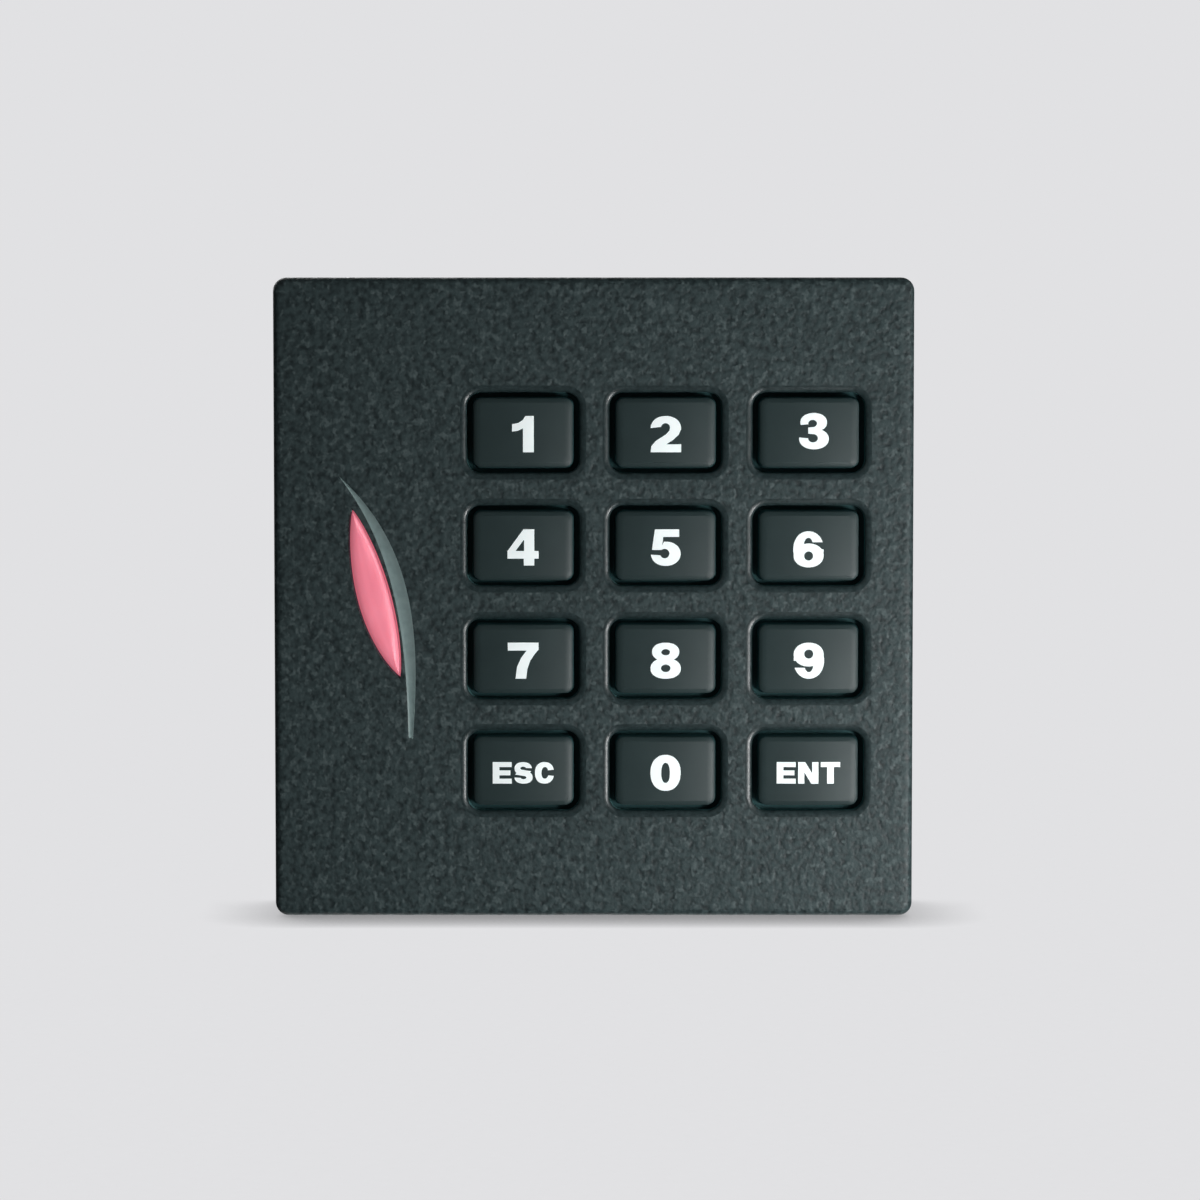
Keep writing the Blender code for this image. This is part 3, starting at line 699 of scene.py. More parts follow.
def make_front_cover(plastic, polished, throat_light_paint, worn):
    build = Builder()
    face_ring = wall_ring(SIDE - 2 * (DRAFT + EDGE_ROUND), CORNER - 0.6 * EDGE_ROUND)
    inner_ring = wall_ring(SIDE - 2 * WALL, 0.5 * CORNER)
    windows = [window_ring(centre, WINDOW_RIM[0]) for centre in KEY_CENTRES.values()]
    lens_mouth = lens_outline(LENS_GAP + 0.1 * MM)
    right, left = crescent_edges()
    add_face(build, face_ring, windows, lens_mouth, right + left[:0:-1])
    add_crescent(build, right, left)
    add_walls(build, inner_ring)

    back_holes = []
    for centre in KEY_CENTRES.values():
        rings = []
        for inset, depth in quarter_round(1.0, 7):
            ring = window_ring(centre, WINDOW_RIM[0] * inset)
            rings.append(at_depth(ring, FACE_Y + WINDOW_RIM[1] * depth))
        build.strip(rings, paint=3)
        throat = window_ring(centre, 0.0)
        # The window's inner wall takes the throat paint: painted light, paler than the cover.
        build.strip([rings[-1], at_depth(throat, FACE_BACK_Y)], paint=2)
        back_holes.append(throat)
    throat = lens_outline(LENS_GAP)
    edge_y = FACE_Y + 0.15 * MM
    build.strip([at_depth(lens_mouth, FACE_Y), at_depth(throat, edge_y)])
    # The lens hole's wall takes the same painted light.
    build.strip([at_depth(throat, edge_y), at_depth(throat, FACE_BACK_Y)], paint=2)
    back_holes.append(throat)

    bosses = []
    for spot in corners(CASE_SCREW):
        bosses.append((spot, 3.0 * MM, 1.5 * MM, BOSS_END_Y, -13 * MM))
    for spot in BOARD_SCREWS:
        bosses.append(((spot.x, spot.z), 2.3 * MM, 1.3 * MM, BOARD_FRONT_Y - GAP, -15.2 * MM))
    for centre, radius, bore, end_y, floor_y in bosses:
        foot, hole = circle(radius, centre), circle(bore, centre)
        rings = [(foot, FACE_BACK_Y), (foot, end_y), (hole, end_y), (hole, floor_y)]
        build.strip([at_depth(ring, y) for ring, y in rings], caps=(False, True))
        back_holes.append(foot)
    flat, triangles = fill([inner_ring, *back_holes], between(inner_ring, back_holes))
    build.triangles([(x, FACE_BACK_Y, z) for x, z in flat], triangles)
    cover = build.object("cover_shell", (plastic, polished, throat_light_paint, worn), 50)

    # The lock screw comes up through the lower wall and a pad on its inside.
    screw = middle("lock_screw")
    low_z = COVER_LOW.z
    pad = Builder()
    pad.box((-3.8 * MM, -9 * MM, low_z + WALL - 0.5 * MM), (3.8 * MM, -1.2 * MM, low_z + WALL + 1.1 * MM))
    boolean(cover, pad.object("pad", ()), "UNION")
    drill = Builder()
    steps = ((2.9, -1.0), (2.9, 1.7), (1.9, 1.7), (1.9, 5.0))
    rings = []
    for radius, height in steps:
        ring = circle(radius * MM, (0.0, screw.y))
        rings.append([(x, y, low_z + height * MM) for x, y in ring])
    drill.strip(rings, caps=(True, True))
    boolean(cover, drill.object("drill", ()), "DIFFERENCE")
    fit(cover, "housing", ["front_cover"])


# --- Keys ------------------------------------------------------------------------------------


def crown_y(x, z):
    """The front of a key at x, z from its centre."""
    across, up = x / (KEY_TOP[0] / 2), z / (KEY_TOP[1] / 2)
    return KEY_FRONT_Y + KEY_CROWN[0] * across**2 + KEY_CROWN[1] * up**2


def key_ring(size, radius):
    return rounded_rectangle(*size, radius, spans=(22, 15))


def make_key(name, rubber):
    centre = KEY_CENTRES[name]
    build = Builder()
    face_size = (KEY_TOP[0] - 2 * KEY_BEVEL, KEY_TOP[1] - 2 * KEY_BEVEL)
    face = key_ring(face_size, KEY_CORNER - 0.7 * KEY_BEVEL)
    low = (-face_size[0] / 2 + 0.25 * MM, -face_size[1] / 2 + 0.25 * MM)
    spots = grid(low, (-low[0], -low[1]), 0.55 * MM)
    flat, triangles = fill([face], between(face, []), spots)
    build.triangles([(centre.x + x, crown_y(x, z), centre.z + z) for x, z in flat], triangles)

    # The bevel starts with a crease, and ends in a round into the side.
    steps = ((0.0, 0.0), (0.55, 0.42), (0.82, 0.72), (0.95, 0.95), (1.0, 1.35))
    rings = []
    for out, down in steps:
        grow = 2 * KEY_BEVEL * (out - 1)
        radius = KEY_CORNER - 0.7 * KEY_BEVEL * (1 - out)
        ring = key_ring((KEY_TOP[0] + grow, KEY_TOP[1] + grow), radius)
        depth = KEY_BEVEL_DEPTH * down
        rings.append(
            [
                (centre.x + x, crown_y(fx, fz) + depth, centre.z + z)
                for (x, z), (fx, fz) in zip(ring, face)
            ]
        )
    tail = (
        (KEY_BASE, KEY_CORNER, KEY_FLANGE_FRONT_Y),
        (KEY_FLANGE, 1.6 * MM, KEY_FLANGE_FRONT_Y),
        (KEY_FLANGE, 1.6 * MM, KEY_FLANGE_BACK_Y),
        (KEY_STEM, 1.0 * MM, KEY_FLANGE_BACK_Y),
        (KEY_STEM, 1.0 * MM, KEY_BACK_Y),
    )
    for size, radius, y in tail:
        rings.append([(centre.x + x, y, centre.z + z) for x, z in key_ring(size, radius)])
    build.strip(rings, caps=(False, True))
    key = build.object(f"key_cap_{name}", (rubber,), 15)
    fit(key, f"button_{name}", [f"key_{name}"])


# Each legend is drawn in cap heights: outlines that are added, then cut away, in order.
ADD, CUT = True, False
SIX = [
    (ADD, ellipse((0.42, 0.50), (0.42, 0.50), 2.1)),
    (CUT, ellipse((0.42, 0.55), (0.135, 0.27))),
    (CUT, bar(0.42, 0.50, 1.0, 0.695)),
    (ADD, ellipse((0.425, 0.33), (0.415, 0.33), 2.1)),
    (CUT, ellipse((0.425, 0.315), (0.125, 0.125))),
]
GLYPHS = {
    "0": [(ADD, ellipse((0.42, 0.5), (0.42, 0.5), 2.2)), (CUT, ellipse((0.42, 0.5), (0.12, 0.28), 2.2))],
    "1": [
        (ADD, [
            (0.60, 0.0), (0.60, 1.0), (0.37, 1.0), (0.30, 0.89), (0.18, 0.81), (0.0, 0.77),
            (0.0, 0.57), (0.16, 0.59), (0.30, 0.66), (0.30, 0.0),
        ])
    ],
    "2": [
        (ADD, ellipse((0.42, 0.66), (0.42, 0.34), 2.1)),
        (CUT, ellipse((0.41, 0.68), (0.125, 0.12))),
        (CUT, [(-0.1, 0.655), (0.29, 0.70), (0.34, 0.62), (1.0, 0.62), (1.0, -0.1), (-0.1, -0.1)]),
        (ADD, [
            (0.0, 0.0), (0.84, 0.0), (0.84, 0.22), (0.43, 0.22), (0.62, 0.34), (0.77, 0.48),
            (0.84, 0.64), (0.80, 0.70), (0.535, 0.68), (0.52, 0.60), (0.42, 0.49), (0.14, 0.31),
            (0.02, 0.17),
        ]),
    ],
    "3": [
        (ADD, ellipse((0.40, 0.74), (0.37, 0.26), 2.1)),
        (ADD, ellipse((0.41, 0.285), (0.41, 0.285), 2.1)),
        (CUT, ellipse((0.37, 0.71), (0.12, 0.10))),
        (CUT, ellipse((0.38, 0.305), (0.135, 0.115))),
        (CUT, [(-0.1, 0.58), (0.37, 0.61), (0.37, 0.66), (0.28, 0.69), (-0.1, 0.66)]),
        (CUT, [(-0.1, 0.34), (0.26, 0.30), (0.37, 0.36), (0.37, 0.42), (-0.1, 0.46)]),
        (CUT, bar(-0.1, 0.34, 0.25, 0.66)),
    ],
    "4": [
        (ADD, [
            (0.0, 0.19), (0.45, 0.19), (0.45, 0.0), (0.74, 0.0), (0.74, 0.19), (0.86, 0.19),
            (0.86, 0.40), (0.74, 0.40), (0.74, 1.0), (0.44, 1.0), (0.0, 0.40),
        ]),
        (CUT, [(0.22, 0.40), (0.46, 0.40), (0.46, 0.72)]),
    ],
    "5": [
        (ADD, ellipse((0.41, 0.325), (0.41, 0.335), 2.1)),
        (CUT, ellipse((0.38, 0.33), (0.13, 0.13))),
        (CUT, [(-0.1, 0.31), (0.28, 0.28), (0.33, 0.40), (0.25, 0.47), (-0.1, 0.47)]),
        (ADD, [(0.11, 1.0), (0.03, 0.43), (0.27, 0.43), (0.36, 0.50), (0.36, 1.0)]),
        (CUT, [(0.36, 0.66), (0.33, 0.60), (0.31, 0.55), (0.34, 0.79), (0.36, 0.79)]),
        (ADD, bar(0.11, 0.79, 0.78, 1.0)),
    ],
    "6": SIX,
    "7": [
        (ADD, [
            (0.0, 0.78), (0.52, 0.78), (0.37, 0.58), (0.26, 0.34), (0.21, 0.0), (0.51, 0.0),
            (0.54, 0.27), (0.62, 0.50), (0.74, 0.68), (0.85, 0.81), (0.85, 1.0), (0.0, 1.0),
        ])
    ],
    "8": [
        (ADD, ellipse((0.42, 0.745), (0.375, 0.255), 2.2)),
        (ADD, ellipse((0.42, 0.285), (0.42, 0.285), 2.2)),
        (CUT, ellipse((0.42, 0.735), (0.12, 0.085))),
        (CUT, ellipse((0.42, 0.29), (0.13, 0.105))),
    ],
    "9": [(kind, [(0.84 - x, 1 - z) for x, z in outline]) for kind, outline in SIX],
    "E": [
        (ADD, bar(0.0, 0.0, 0.31, 1.0)),
        (ADD, bar(0.0, 0.0, 0.88, 0.23)),
        (ADD, bar(0.0, 0.385, 0.82, 0.615)),
        (ADD, bar(0.0, 0.77, 0.88, 1.0)),
    ],
    "S": [
        (ADD, ellipse((0.42, 0.705), (0.40, 0.295), 2.2)),
        (ADD, ellipse((0.44, 0.295), (0.42, 0.295), 2.2)),
        (CUT, ellipse((0.42, 0.715), (0.13, 0.075))),
        (CUT, ellipse((0.44, 0.285), (0.13, 0.075))),
        (CUT, [(0.42, 0.64), (0.66, 0.60), (1.0, 0.56), (1.0, 0.71), (0.52, 0.73)]),
        (CUT, [(0.44, 0.36), (0.20, 0.40), (-0.1, 0.44), (-0.1, 0.29), (0.34, 0.27)]),
    ],
    "C": [
        (ADD, ellipse((0.44, 0.5), (0.44, 0.5), 2.3)),
        (CUT, ellipse((0.46, 0.5), (0.16, 0.27), 2.2)),
        (CUT, [(0.46, 0.40), (1.0, 0.34), (1.0, 0.66), (0.46, 0.60)]),
    ],
    "N": [
        (ADD, bar(0.0, 0.0, 0.29, 1.0)),
        (ADD, bar(0.65, 0.0, 0.94, 1.0)),
        (ADD, [(0.0, 1.0), (0.33, 1.0), (0.94, 0.0), (0.61, 0.0)]),
    ],
    "T": [(ADD, bar(0.0, 0.77, 0.9, 1.0)), (ADD, bar(0.295, 0.0, 0.605, 1.0))],
}
# The 3 is printed right of its key's centre, and the 6 a little low.
LEGEND_SHIFT = {"3": (0.6 * MM, 0.4 * MM), "6": (-0.1 * MM, -0.25 * MM)}


def glyph_width(glyph):
    return max(x for kind, outline in glyph if kind is ADD for x, _ in outline)


def make_legend(name, ink):
    """The key's number or word, a thin print that follows the key's crown."""
    centre = KEY_CENTRES[name]
    letters = name.upper()
    height = DIGIT_HEIGHT if len(letters) == 1 else LETTER_HEIGHT
    glyphs = [GLYPHS[letter] for letter in letters]
    total = sum(glyph_width(glyph) for glyph in glyphs) + LETTER_GAP * (len(glyphs) - 1)
    shift_x, shift_z = LEGEND_SHIFT.get(name, (0.0, 0.0))
    x0 = shift_x - total / 2 * height
    z0 = shift_z - LEGEND_DROP - height / 2
    build = Builder()
    for glyph in glyphs:
        width = glyph_width(glyph) * height
        drawn = [(kind, [(x0 + x * height, z0 + z * height) for x, z in line]) for kind, line in glyph]

        def keep(middles, drawn=drawn):
            kept = np.zeros(len(middles), bool)
            for kind, outline in drawn:
                covered = inside(middles, outline)
                kept = kept | covered if kind is ADD else kept & ~covered
            return kept

        spots = grid((x0, z0), (x0 + width, z0 + height), 0.6 * MM)
        flat, triangles = fill([outline for _, outline in drawn], keep, spots)
        points = [
            Vector((centre.x + x, crown_y(x, z) - LEGEND_RISE, centre.z + z)) for x, z in flat
        ]
        build.slab(points, triangles, LEGEND_RISE + 0.03 * MM)
        x0 += width + LETTER_GAP * height
    legend = build.object(f"legend_{name}", (ink,), 30)
    fit(legend, f"button_{name}")


def make_pill(name, carbon):
    """The carbon contact under a key: a disc with a raised ring and a dished middle."""
    low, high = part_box(f"contact_pill_{name}")
    centre = (low + high) / 2
    radius = (high.x - low.x) / 2
    profile = (
        (0.25, low.y),
        (0.94, low.y),
        (1.0, low.y + 0.06 * MM),
        (1.0, high.y - 0.08 * MM),
        (0.95, high.y),
        (0.7, high.y),
        (0.62, high.y - 0.07 * MM),
        (0.2, high.y - 0.09 * MM),
    )
    build = Builder()
    rings = [at_depth(circle(radius * share, (centre.x, centre.z), 36), y) for share, y in profile]
    build.strip(rings, caps=(True, True))
    pill = build.object(f"pill_{name}", (carbon,), 30)
    fit(pill, f"button_{name}", [f"contact_pill_{name}"])


# --- Lens --------------------------------------------------------------------------------------


def make_lens(plastic):
    """A domed leaf on a flange inside the cover."""
    build = Builder()
    flange_y = FACE_BACK_Y + GAP
    rings = [
        at_depth(lens_outline(LENS_FLANGE), LENS_BACK_Y),
        at_depth(lens_outline(LENS_FLANGE), flange_y),
        at_depth(lens_outline(0.0), flange_y),
    ]
    reach, steps = 1.6 * MM, 14
    for step in range(steps + 1):
        angle = math.radians(90) * step / steps
        inset = reach * (1 - math.cos(angle)) + 0.02 * MM * (step > 0)
        rings.append(at_depth(lens_outline(-inset), FACE_Y - LENS_PROUD * math.sin(angle)))
    build.strip(rings, caps=(True, True))
    lens = build.object("lens_leaf", (plastic,), 45)
    fit(lens, "housing", ["status_lens"])


# --- Screws --------------------------------------------------------------------------------------


def cross_outline(reach, half):
    """A Phillips recess: four arms of that reach and half width."""
    quarter = ((reach, -half), (reach, half), (1.25 * half, 1.25 * half))
    points = []
    for turn in range(4):
        angle = math.radians(90) * turn
        cos, sin = math.cos(angle), math.sin(angle)
        points += [(x * cos - z * sin, x * sin + z * cos) for x, z in quarter]
    return points


def make_screw(node, head_radius, shank_radius, length, steel, upward=False):
    """A pan head screw with a cross recess and a thread, head to +Y or down."""
    head, pitch, steps = 1.3 * MM, 0.9 * MM, 24
    build = Builder()
    flat_radius = head_radius * 0.62
    top, recess = circle(flat_radius, steps=steps), cross_outline(flat_radius * 0.82, 0.32 * MM)
    points, triangles = fill([top, recess], between(top, [recess]))
    build.triangles([(x, head, z) for x, z in points], triangles)
    narrow = [(x * 0.55, z * 0.55) for x, z in recess]
    build.strip([at_depth(recess, head), at_depth(narrow, head * 0.3)], caps=(False, True))
    rings = []
    for share, y in ((0.62, 1.0), (0.80, 0.92), (0.93, 0.72), (1.0, 0.42), (1.0, 0.08), (0.97, 0.0)):
        rings.append(at_depth(circle(head_radius * share, steps=steps), head * y))
    core = shank_radius * 0.76
    levels = round(length / (pitch / 8))
    for level in range(levels + 1):
        y = -length * level / levels
        taper = min(1.0, (length + y) / (1.2 * shank_radius) + 0.15)
        ring = []
        for i in range(steps):
            turn = (i + 0.5) / steps
            wave = (y / pitch + turn) % 1.0
            crest = max(0.0, 1 - abs(wave - 0.5) * 3.2)
            radius = (core + (shank_radius - core) * crest) * taper
            angle = 2 * math.pi * turn
            ring.append((radius * math.cos(angle), y, radius * math.sin(angle)))
        rings.append(ring)
    build.strip(rings, caps=(False, True))
    screw = build.object(f"{node}_body", (steel,), 35)
    low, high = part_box(node)
    centre = (low + high) / 2
    if upward:
        place = Matrix.Translation((centre.x, centre.y, low.z + head)) @ Matrix.Rotation(
            math.radians(-90), 4, "X"
        )
    else:
        place = Matrix.Translation((centre.x, high.y - head, centre.z))
    screw.data.transform(place)
    fit(screw, "housing", [node])


# --- Wall plate -------------------------------------------------------------------------------


def make_wall_plate(plastic):
    """A ribbed plate: pockets in its rear face, slots for the box screws, two hooks."""
    low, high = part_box("wall_plate")
    build = Builder()
    side = PLATE_SIDE
    edge = 0.35 * MM
    holes = []
    for sign in (-1, 1):
        reach = sign * BOX_SCREW_PITCH / 2
        holes.append((BOX_SLOT, (reach, 0.0), BOX_SLOT[0] * 0.499))
        holes.append(((BOX_SLOT[1], BOX_SLOT[0]), (0.0, reach), BOX_SLOT[0] * 0.499))
    holes.append(((CABLE_OPENING, CABLE_OPENING), CABLE_CENTRE, 1.5 * MM))
    rear_loops, front_loops = [], []
    for size, centre, radius in holes:
        mouth = rounded_rectangle(size[0] + 0.6 * MM, size[1] + 0.6 * MM, radius + 0.3 * MM, centre)
        throat = rounded_rectangle(*size, radius, centre)
        build.strip(
            [
                at_depth(mouth, high.y),
                at_depth(throat, high.y - 0.3 * MM),
                at_depth(throat, PLATE_FRONT_Y + 0.3 * MM),
                at_depth(mouth, PLATE_FRONT_Y),
            ]
        )
        rear_loops.append(mouth)
        front_loops.append(mouth)

    # Weight-saving pockets between the ribs of the rear face, and ejector marks.
    floor_y = high.y - 0.9 * MM
    pockets = []
    for sx in (-1, 1):
        for x, z, width, height in (
            (20.0, 24.5, 15, 11),
            (20.0, -26.5, 15, 13),
            (19.6, 6.5, 9, 15),
            (35.6, 22.0, 4, 16),
            (35.6, -22.0, 4, 16),
        ):
            pockets.append((sx * x, z, width, height))
    pockets += [(8.6, 13.0, 8, 16), (-8.6, 13.0, 8, 16)]
    for x, z, width, height in pockets:
        centre = (x * MM, z * MM)
        mouth = rounded_rectangle(width * MM, height * MM, 1.2 * MM, centre)
        base = rounded_rectangle((width - 0.5) * MM, (height - 0.5) * MM, 1.0 * MM, centre)
        build.strip([at_depth(mouth, high.y), at_depth(base, floor_y)], caps=(False, True))
        rear_loops.append(mouth)
    for spot in corners(EJECTOR_MARK):
        mark = circle(2.0 * MM, spot)
        build.strip([at_depth(mark, high.y), at_depth(mark, high.y - 0.15 * MM)], caps=(False, True))
        rear_loops.append(mark)

    outline = rounded_rectangle(side - 2 * edge, side - 2 * edge, 2 * MM - edge)
    full = rounded_rectangle(side, side, 2 * MM)
    build.strip(
        [
            at_depth(outline, high.y),
            at_depth(full, high.y - edge),
            at_depth(full, PLATE_FRONT_Y + edge),
            at_depth(outline, PLATE_FRONT_Y),
        ]
    )
    for y, loops in ((high.y, rear_loops), (PLATE_FRONT_Y, front_loops)):
        flat, triangles = fill([outline, *loops], between(outline, loops))
        build.triangles([(x, y, z) for x, z in flat], triangles)
    plate = build.object("mounting_plate", (plastic,), 35)

    hooks = Builder()
    root_y = PLATE_FRONT_Y + 0.8 * MM
    for sx in (-1, 1):
        x0, x1 = (sx * HOOK_X - 3.7) * MM, (sx * HOOK_X + 3.7) * MM
        post_x = (x0 + 0.3 * MM, x1 - 0.3 * MM)
        hooks.box((post_x[0], -5.5 * MM, 28.8 * MM), (post_x[1], root_y, 30.1 * MM))
        hooks.box((x0, -5.9 * MM, 28.5 * MM), (x1, -4.9 * MM, 32.6 * MM), 0.2 * MM)
    boolean(plate, hooks.object("hooks", ()), "UNION")
    tab = Builder()
    tab.box((-3.6 * MM, -6.3 * MM, -39.2 * MM), (3.6 * MM, root_y, -36.2 * MM), 0.3 * MM)
    boolean(plate, tab.object("tab", ()), "UNION")
    drill = Builder()
    ring = circle(1.8 * MM, (0.0, middle("lock_screw").y), 24)
    drill.strip([[(x, y, z * MM) for x, y in ring] for z in (-42, -30)], caps=(True, True))
    boolean(plate, drill.object("tab_drill", ()), "DIFFERENCE")
    fit(plate, "housing", ["wall_plate"])


# --- Electronics ---------------------------------------------------------------------------------


def make_coil(copper):
    """Turns of enamelled wire laid flat, in the place of the coil's block."""
    low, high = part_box("antenna_coil")
    side, deep = high.x - low.x, high.y - low.y
    width, corner = 2.5 * MM, 13 * MM
    across, layers, sides = 6, 4, 8
    radius = min(width / across, deep / layers) / 2 * 0.96
    build = Builder()
    for layer in range(layers):
        y = low.y + deep * (layer + 0.5) / layers
        for turn in range(across):
            inset = width * (turn + 0.5) / across
            rings = []
            for i in range(sides):
                angle = 2 * math.pi * i / sides
                out = radius * math.cos(angle) - inset
                size = side + 2 * out
                ring = rounded_rectangle(size, size, corner + out, spans=(4, 4), steps=10)
                rings.append(at_depth(ring, y + radius * math.sin(angle)))
            build.strip(rings, closed=True)
    coil = build.object("coil_turns", (copper,), 60, weld=0)
    fit(coil, "housing", ["antenna_coil"])


def add_legs(build, node, count, pitch, along, reach, width):
    """Gull-wing legs on both long sides of a package on the board's back."""
    low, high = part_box(node)
    centre = (low + high) / 2
    half = (high.x - low.x) / 2 if along == "z" else (high.z - low.z) / 2
    for side in (-1, 1):
        for i in range(count):
            at = (i - (count - 1) / 2) * pitch
            inner, outer = side * (half - 0.2 * MM), side * (half + reach)
            knee = side * (half + reach * 0.45)
            parts = (
                (inner, knee, BOARD_BACK_Y + 0.55 * MM, BOARD_BACK_Y + 0.72 * MM),
                (knee - side * 0.15 * MM, knee, BOARD_BACK_Y + 0.05 * MM, BOARD_BACK_Y + 0.72 * MM),
                (knee, outer, BOARD_BACK_Y + 0.05 * MM, BOARD_BACK_Y + 0.22 * MM),
            )
            for a, b, y0, y1 in parts:
                near, far = min(a, b), max(a, b)
                if along == "z":
                    low_corner = (centre.x + near, y0, centre.z + at - width / 2)
                    high_corner = (centre.x + far, y1, centre.z + at + width / 2)
                else:
                    low_corner = (centre.x + at - width / 2, y0, centre.z + near)
                    high_corner = (centre.x + at + width / 2, y1, centre.z + far)
                build.box(low_corner, high_corner)


def make_electronics(tin, ceramic):
    """Legs, small parts and contact pads, round the packages that keep their shape."""
    legs = Builder()
    add_legs(legs, "microcontroller", 12, 0.7 * MM, "z", 1.0 * MM, 0.3 * MM)
    add_legs(legs, "microcontroller", 12, 0.7 * MM, "x", 1.0 * MM, 0.3 * MM)
    add_legs(legs, "reader_chip", 8, 1.1 * MM, "x", 1.1 * MM, 0.42 * MM)
    add_legs(legs, "voltage_regulator", 3, 2.0 * MM, "x", 1.3 * MM, 0.7 * MM)
    fit(legs.object("package_legs", (tin,), 30, weld=0), "housing")

    low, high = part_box("cable_connector")
    pins = Builder()
    for i in range(8):
        z = low.z + (high.z - low.z) * (i + 0.5) / 8
        x = (low.x + high.x) / 2
        pins.post(x, z, 0.3 * MM, 0.3 * MM, BOARD_BACK_Y, high.y + 0.9 * MM, 0.1 * MM)
    fit(pins.object("connector_pins", (tin,), 30, weld=0), "housing")

    bodies, ends = Builder(), Builder()
    places = [(x, z) for x in (-22, -17, 1, 5) for z in (4, 8, 12, 16, 20)]
    places += [(x, -6) for x in (-14, -10, -6, -2, 2, 6)]
    places += [(x, 27) for x in (4, 8, 12, 16)]
    for x, z in places:
        near = BOARD_BACK_Y + 0.05 * MM
        x, z = x * MM, z * MM
        bodies.post(x, z, 0.55 * MM, 0.4 * MM, near, near + 0.5 * MM, 0.05 * MM)
        for side in (-1, 1):
            a, b = x + side * 0.5 * MM, x + side * 0.85 * MM
            low_corner = (min(a, b), near, z - 0.42 * MM)
            high_corner = (max(a, b), near + 0.53 * MM, z + 0.42 * MM)
            ends.box(low_corner, high_corner, 0.05 * MM)
    fit(bodies.object("small_part_bodies", (ceramic,), 30, weld=0), "housing")
    fit(ends.object("small_part_ends", (tin,), 30, weld=0), "housing")

    pads = Builder()
    pad_y = BOARD_FRONT_Y - 0.06 * MM
    for centre in KEY_CENTRES.values():
        for i in range(7):
            x = centre.x + (i - 3) * 0.62 * MM
            reach = math.sqrt(max(0.0, (2.4 * MM) ** 2 - (x - centre.x) ** 2))
            pads.post(x, centre.z, 0.18 * MM, reach, pad_y, BOARD_FRONT_Y, 0.0)
    fit(pads.object("key_contact_pads", (tin,), 30, weld=0), "housing")


# --- Finishes of the nodes that keep their shape ---------------------------------------------------


def board_mask():
    """Green solder mask over copper tracks."""
    made = Shader("board_green", 0.32)
    tracks = made.cells(3.4 * MM)
    weave = made.noise(0.35 * MM, 2.0)
    over = made.ramp(tracks, 0.30, 0.34)
    made.link(made.blend(over, (0.012, 0.16, 0.060), (0.006, 0.075, 0.030)), "Base Color")
    made.dull(weave, 0.26, 0.38)
    lifted = made.bump(over, 0.03 * MM, 0.7)
    made.rough_up(weave, 0.01 * MM, 0.5, lifted)
    return made.material


def finish_nodes(back, steel, moulded):
    """Gives every node that still shows its own procedural material."""
    rubber = grainy("mat_rubber", (0.010, 0.011, 0.012), (0.020, 0.022, 0.024), 0.62, 0.4 * MM, 0.02 * MM)
    seal = grainy("grommet_rubber", (0.009, 0.009, 0.009), (0.018, 0.018, 0.018), 0.7, 0.3 * MM, 0.03 * MM)
    yellow = grainy("capacitor_yellow", (0.55, 0.32, 0.04), (0.70, 0.46, 0.09), 0.4, 0.3 * MM, 0.01 * MM)
    ivory = grainy("connector_ivory", (0.66, 0.62, 0.50), (0.78, 0.74, 0.63), 0.42, 0.4 * MM, 0.01 * MM)
    red = grainy("led_red", (0.72, 0.40, 0.36), (0.85, 0.58, 0.52), 0.22, 0.5 * MM, 0.004 * MM)
    green = grainy("led_green", (0.45, 0.70, 0.45), (0.60, 0.84, 0.58), 0.22, 0.5 * MM, 0.004 * MM)
    finishes = {
        "rear_cover": back,
        "cable_grommet": seal,
        "keypad_mat": rubber,
        "main_board": board_mask(),
        "microcontroller": moulded,
        "reader_chip": moulded,
        "voltage_regulator": moulded,
        "buzzer": moulded,
        "crystal": steel,
        "filter_capacitor_1": yellow,
        "filter_capacitor_2": yellow,
        "cable_connector": ivory,
        "status_led_red": red,
        "status_led_green": green,
    }
    for node, finish in finishes.items():
        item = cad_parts[node]
        item.data.materials.clear()
        item.data.materials.append(finish)


# --- Camera, light and ground ------------------------------------------------------------------------

CAMERA_DISTANCE = 0.474
CAMERA_RISE = math.radians(3.0)
VIEW_WIDTH = 161.1 * MM
BACKDROP = (0.753, 0.753, 0.769)
FLOOR_Z = COVER_LOW.z - 0.05 * MM
FLOOR_RADIUS = 1.6
SHADOW_REACH = 11 * MM
SHADOW_POWER = 0.9
SHADOW_LEAN = (0.96, 0.28)
PAPER_GRAIN = 900.0
FACE_MIDDLE = (0.0, FACE_Y, 0.0)
ORIGIN = (0.0, 0.0, 0.0)
# Name, place, what it points at, size in metres, and power in watts.
LIGHTS = (
    ("key_light", (0.13, -0.158, -0.055), FACE_MIDDLE, (0.06, 0.07), 0.42),
    ("upper_light", (0.24, -0.118, 0.12), FACE_MIDDLE, (0.09, 0.10), 0.12),
    ("fill_light", (-0.25, -0.45, 0.30), FACE_MIDDLE, (0.4, 0.4), 0.12),
    ("back_light", (-0.25, 0.5, 0.35), ORIGIN, (0.5, 0.5), 5.0),
    ("bounce_light", (0.0, 0.30, -0.45), ORIGIN, (0.5, 0.5), 2.0),
)


def make_camera():
    aim = Vector((0.85 * MM, FACE_Y, -0.25 * MM))
    away = Vector((0.0, -math.cos(CAMERA_RISE), math.sin(CAMERA_RISE)))
    data = bpy.data.cameras.new("camera")
    data.sensor_width = 36
    data.lens = 36 * CAMERA_DISTANCE / VIEW_WIDTH
    data.clip_start = 0.01
    camera = bpy.data.objects.new("camera", data)
    camera.location = aim + away * CAMERA_DISTANCE
    camera.rotation_euler = (-away).to_track_quat("-Z", "Y").to_euler()
    bpy.context.scene.collection.objects.link(camera)
    bpy.context.scene.camera = camera


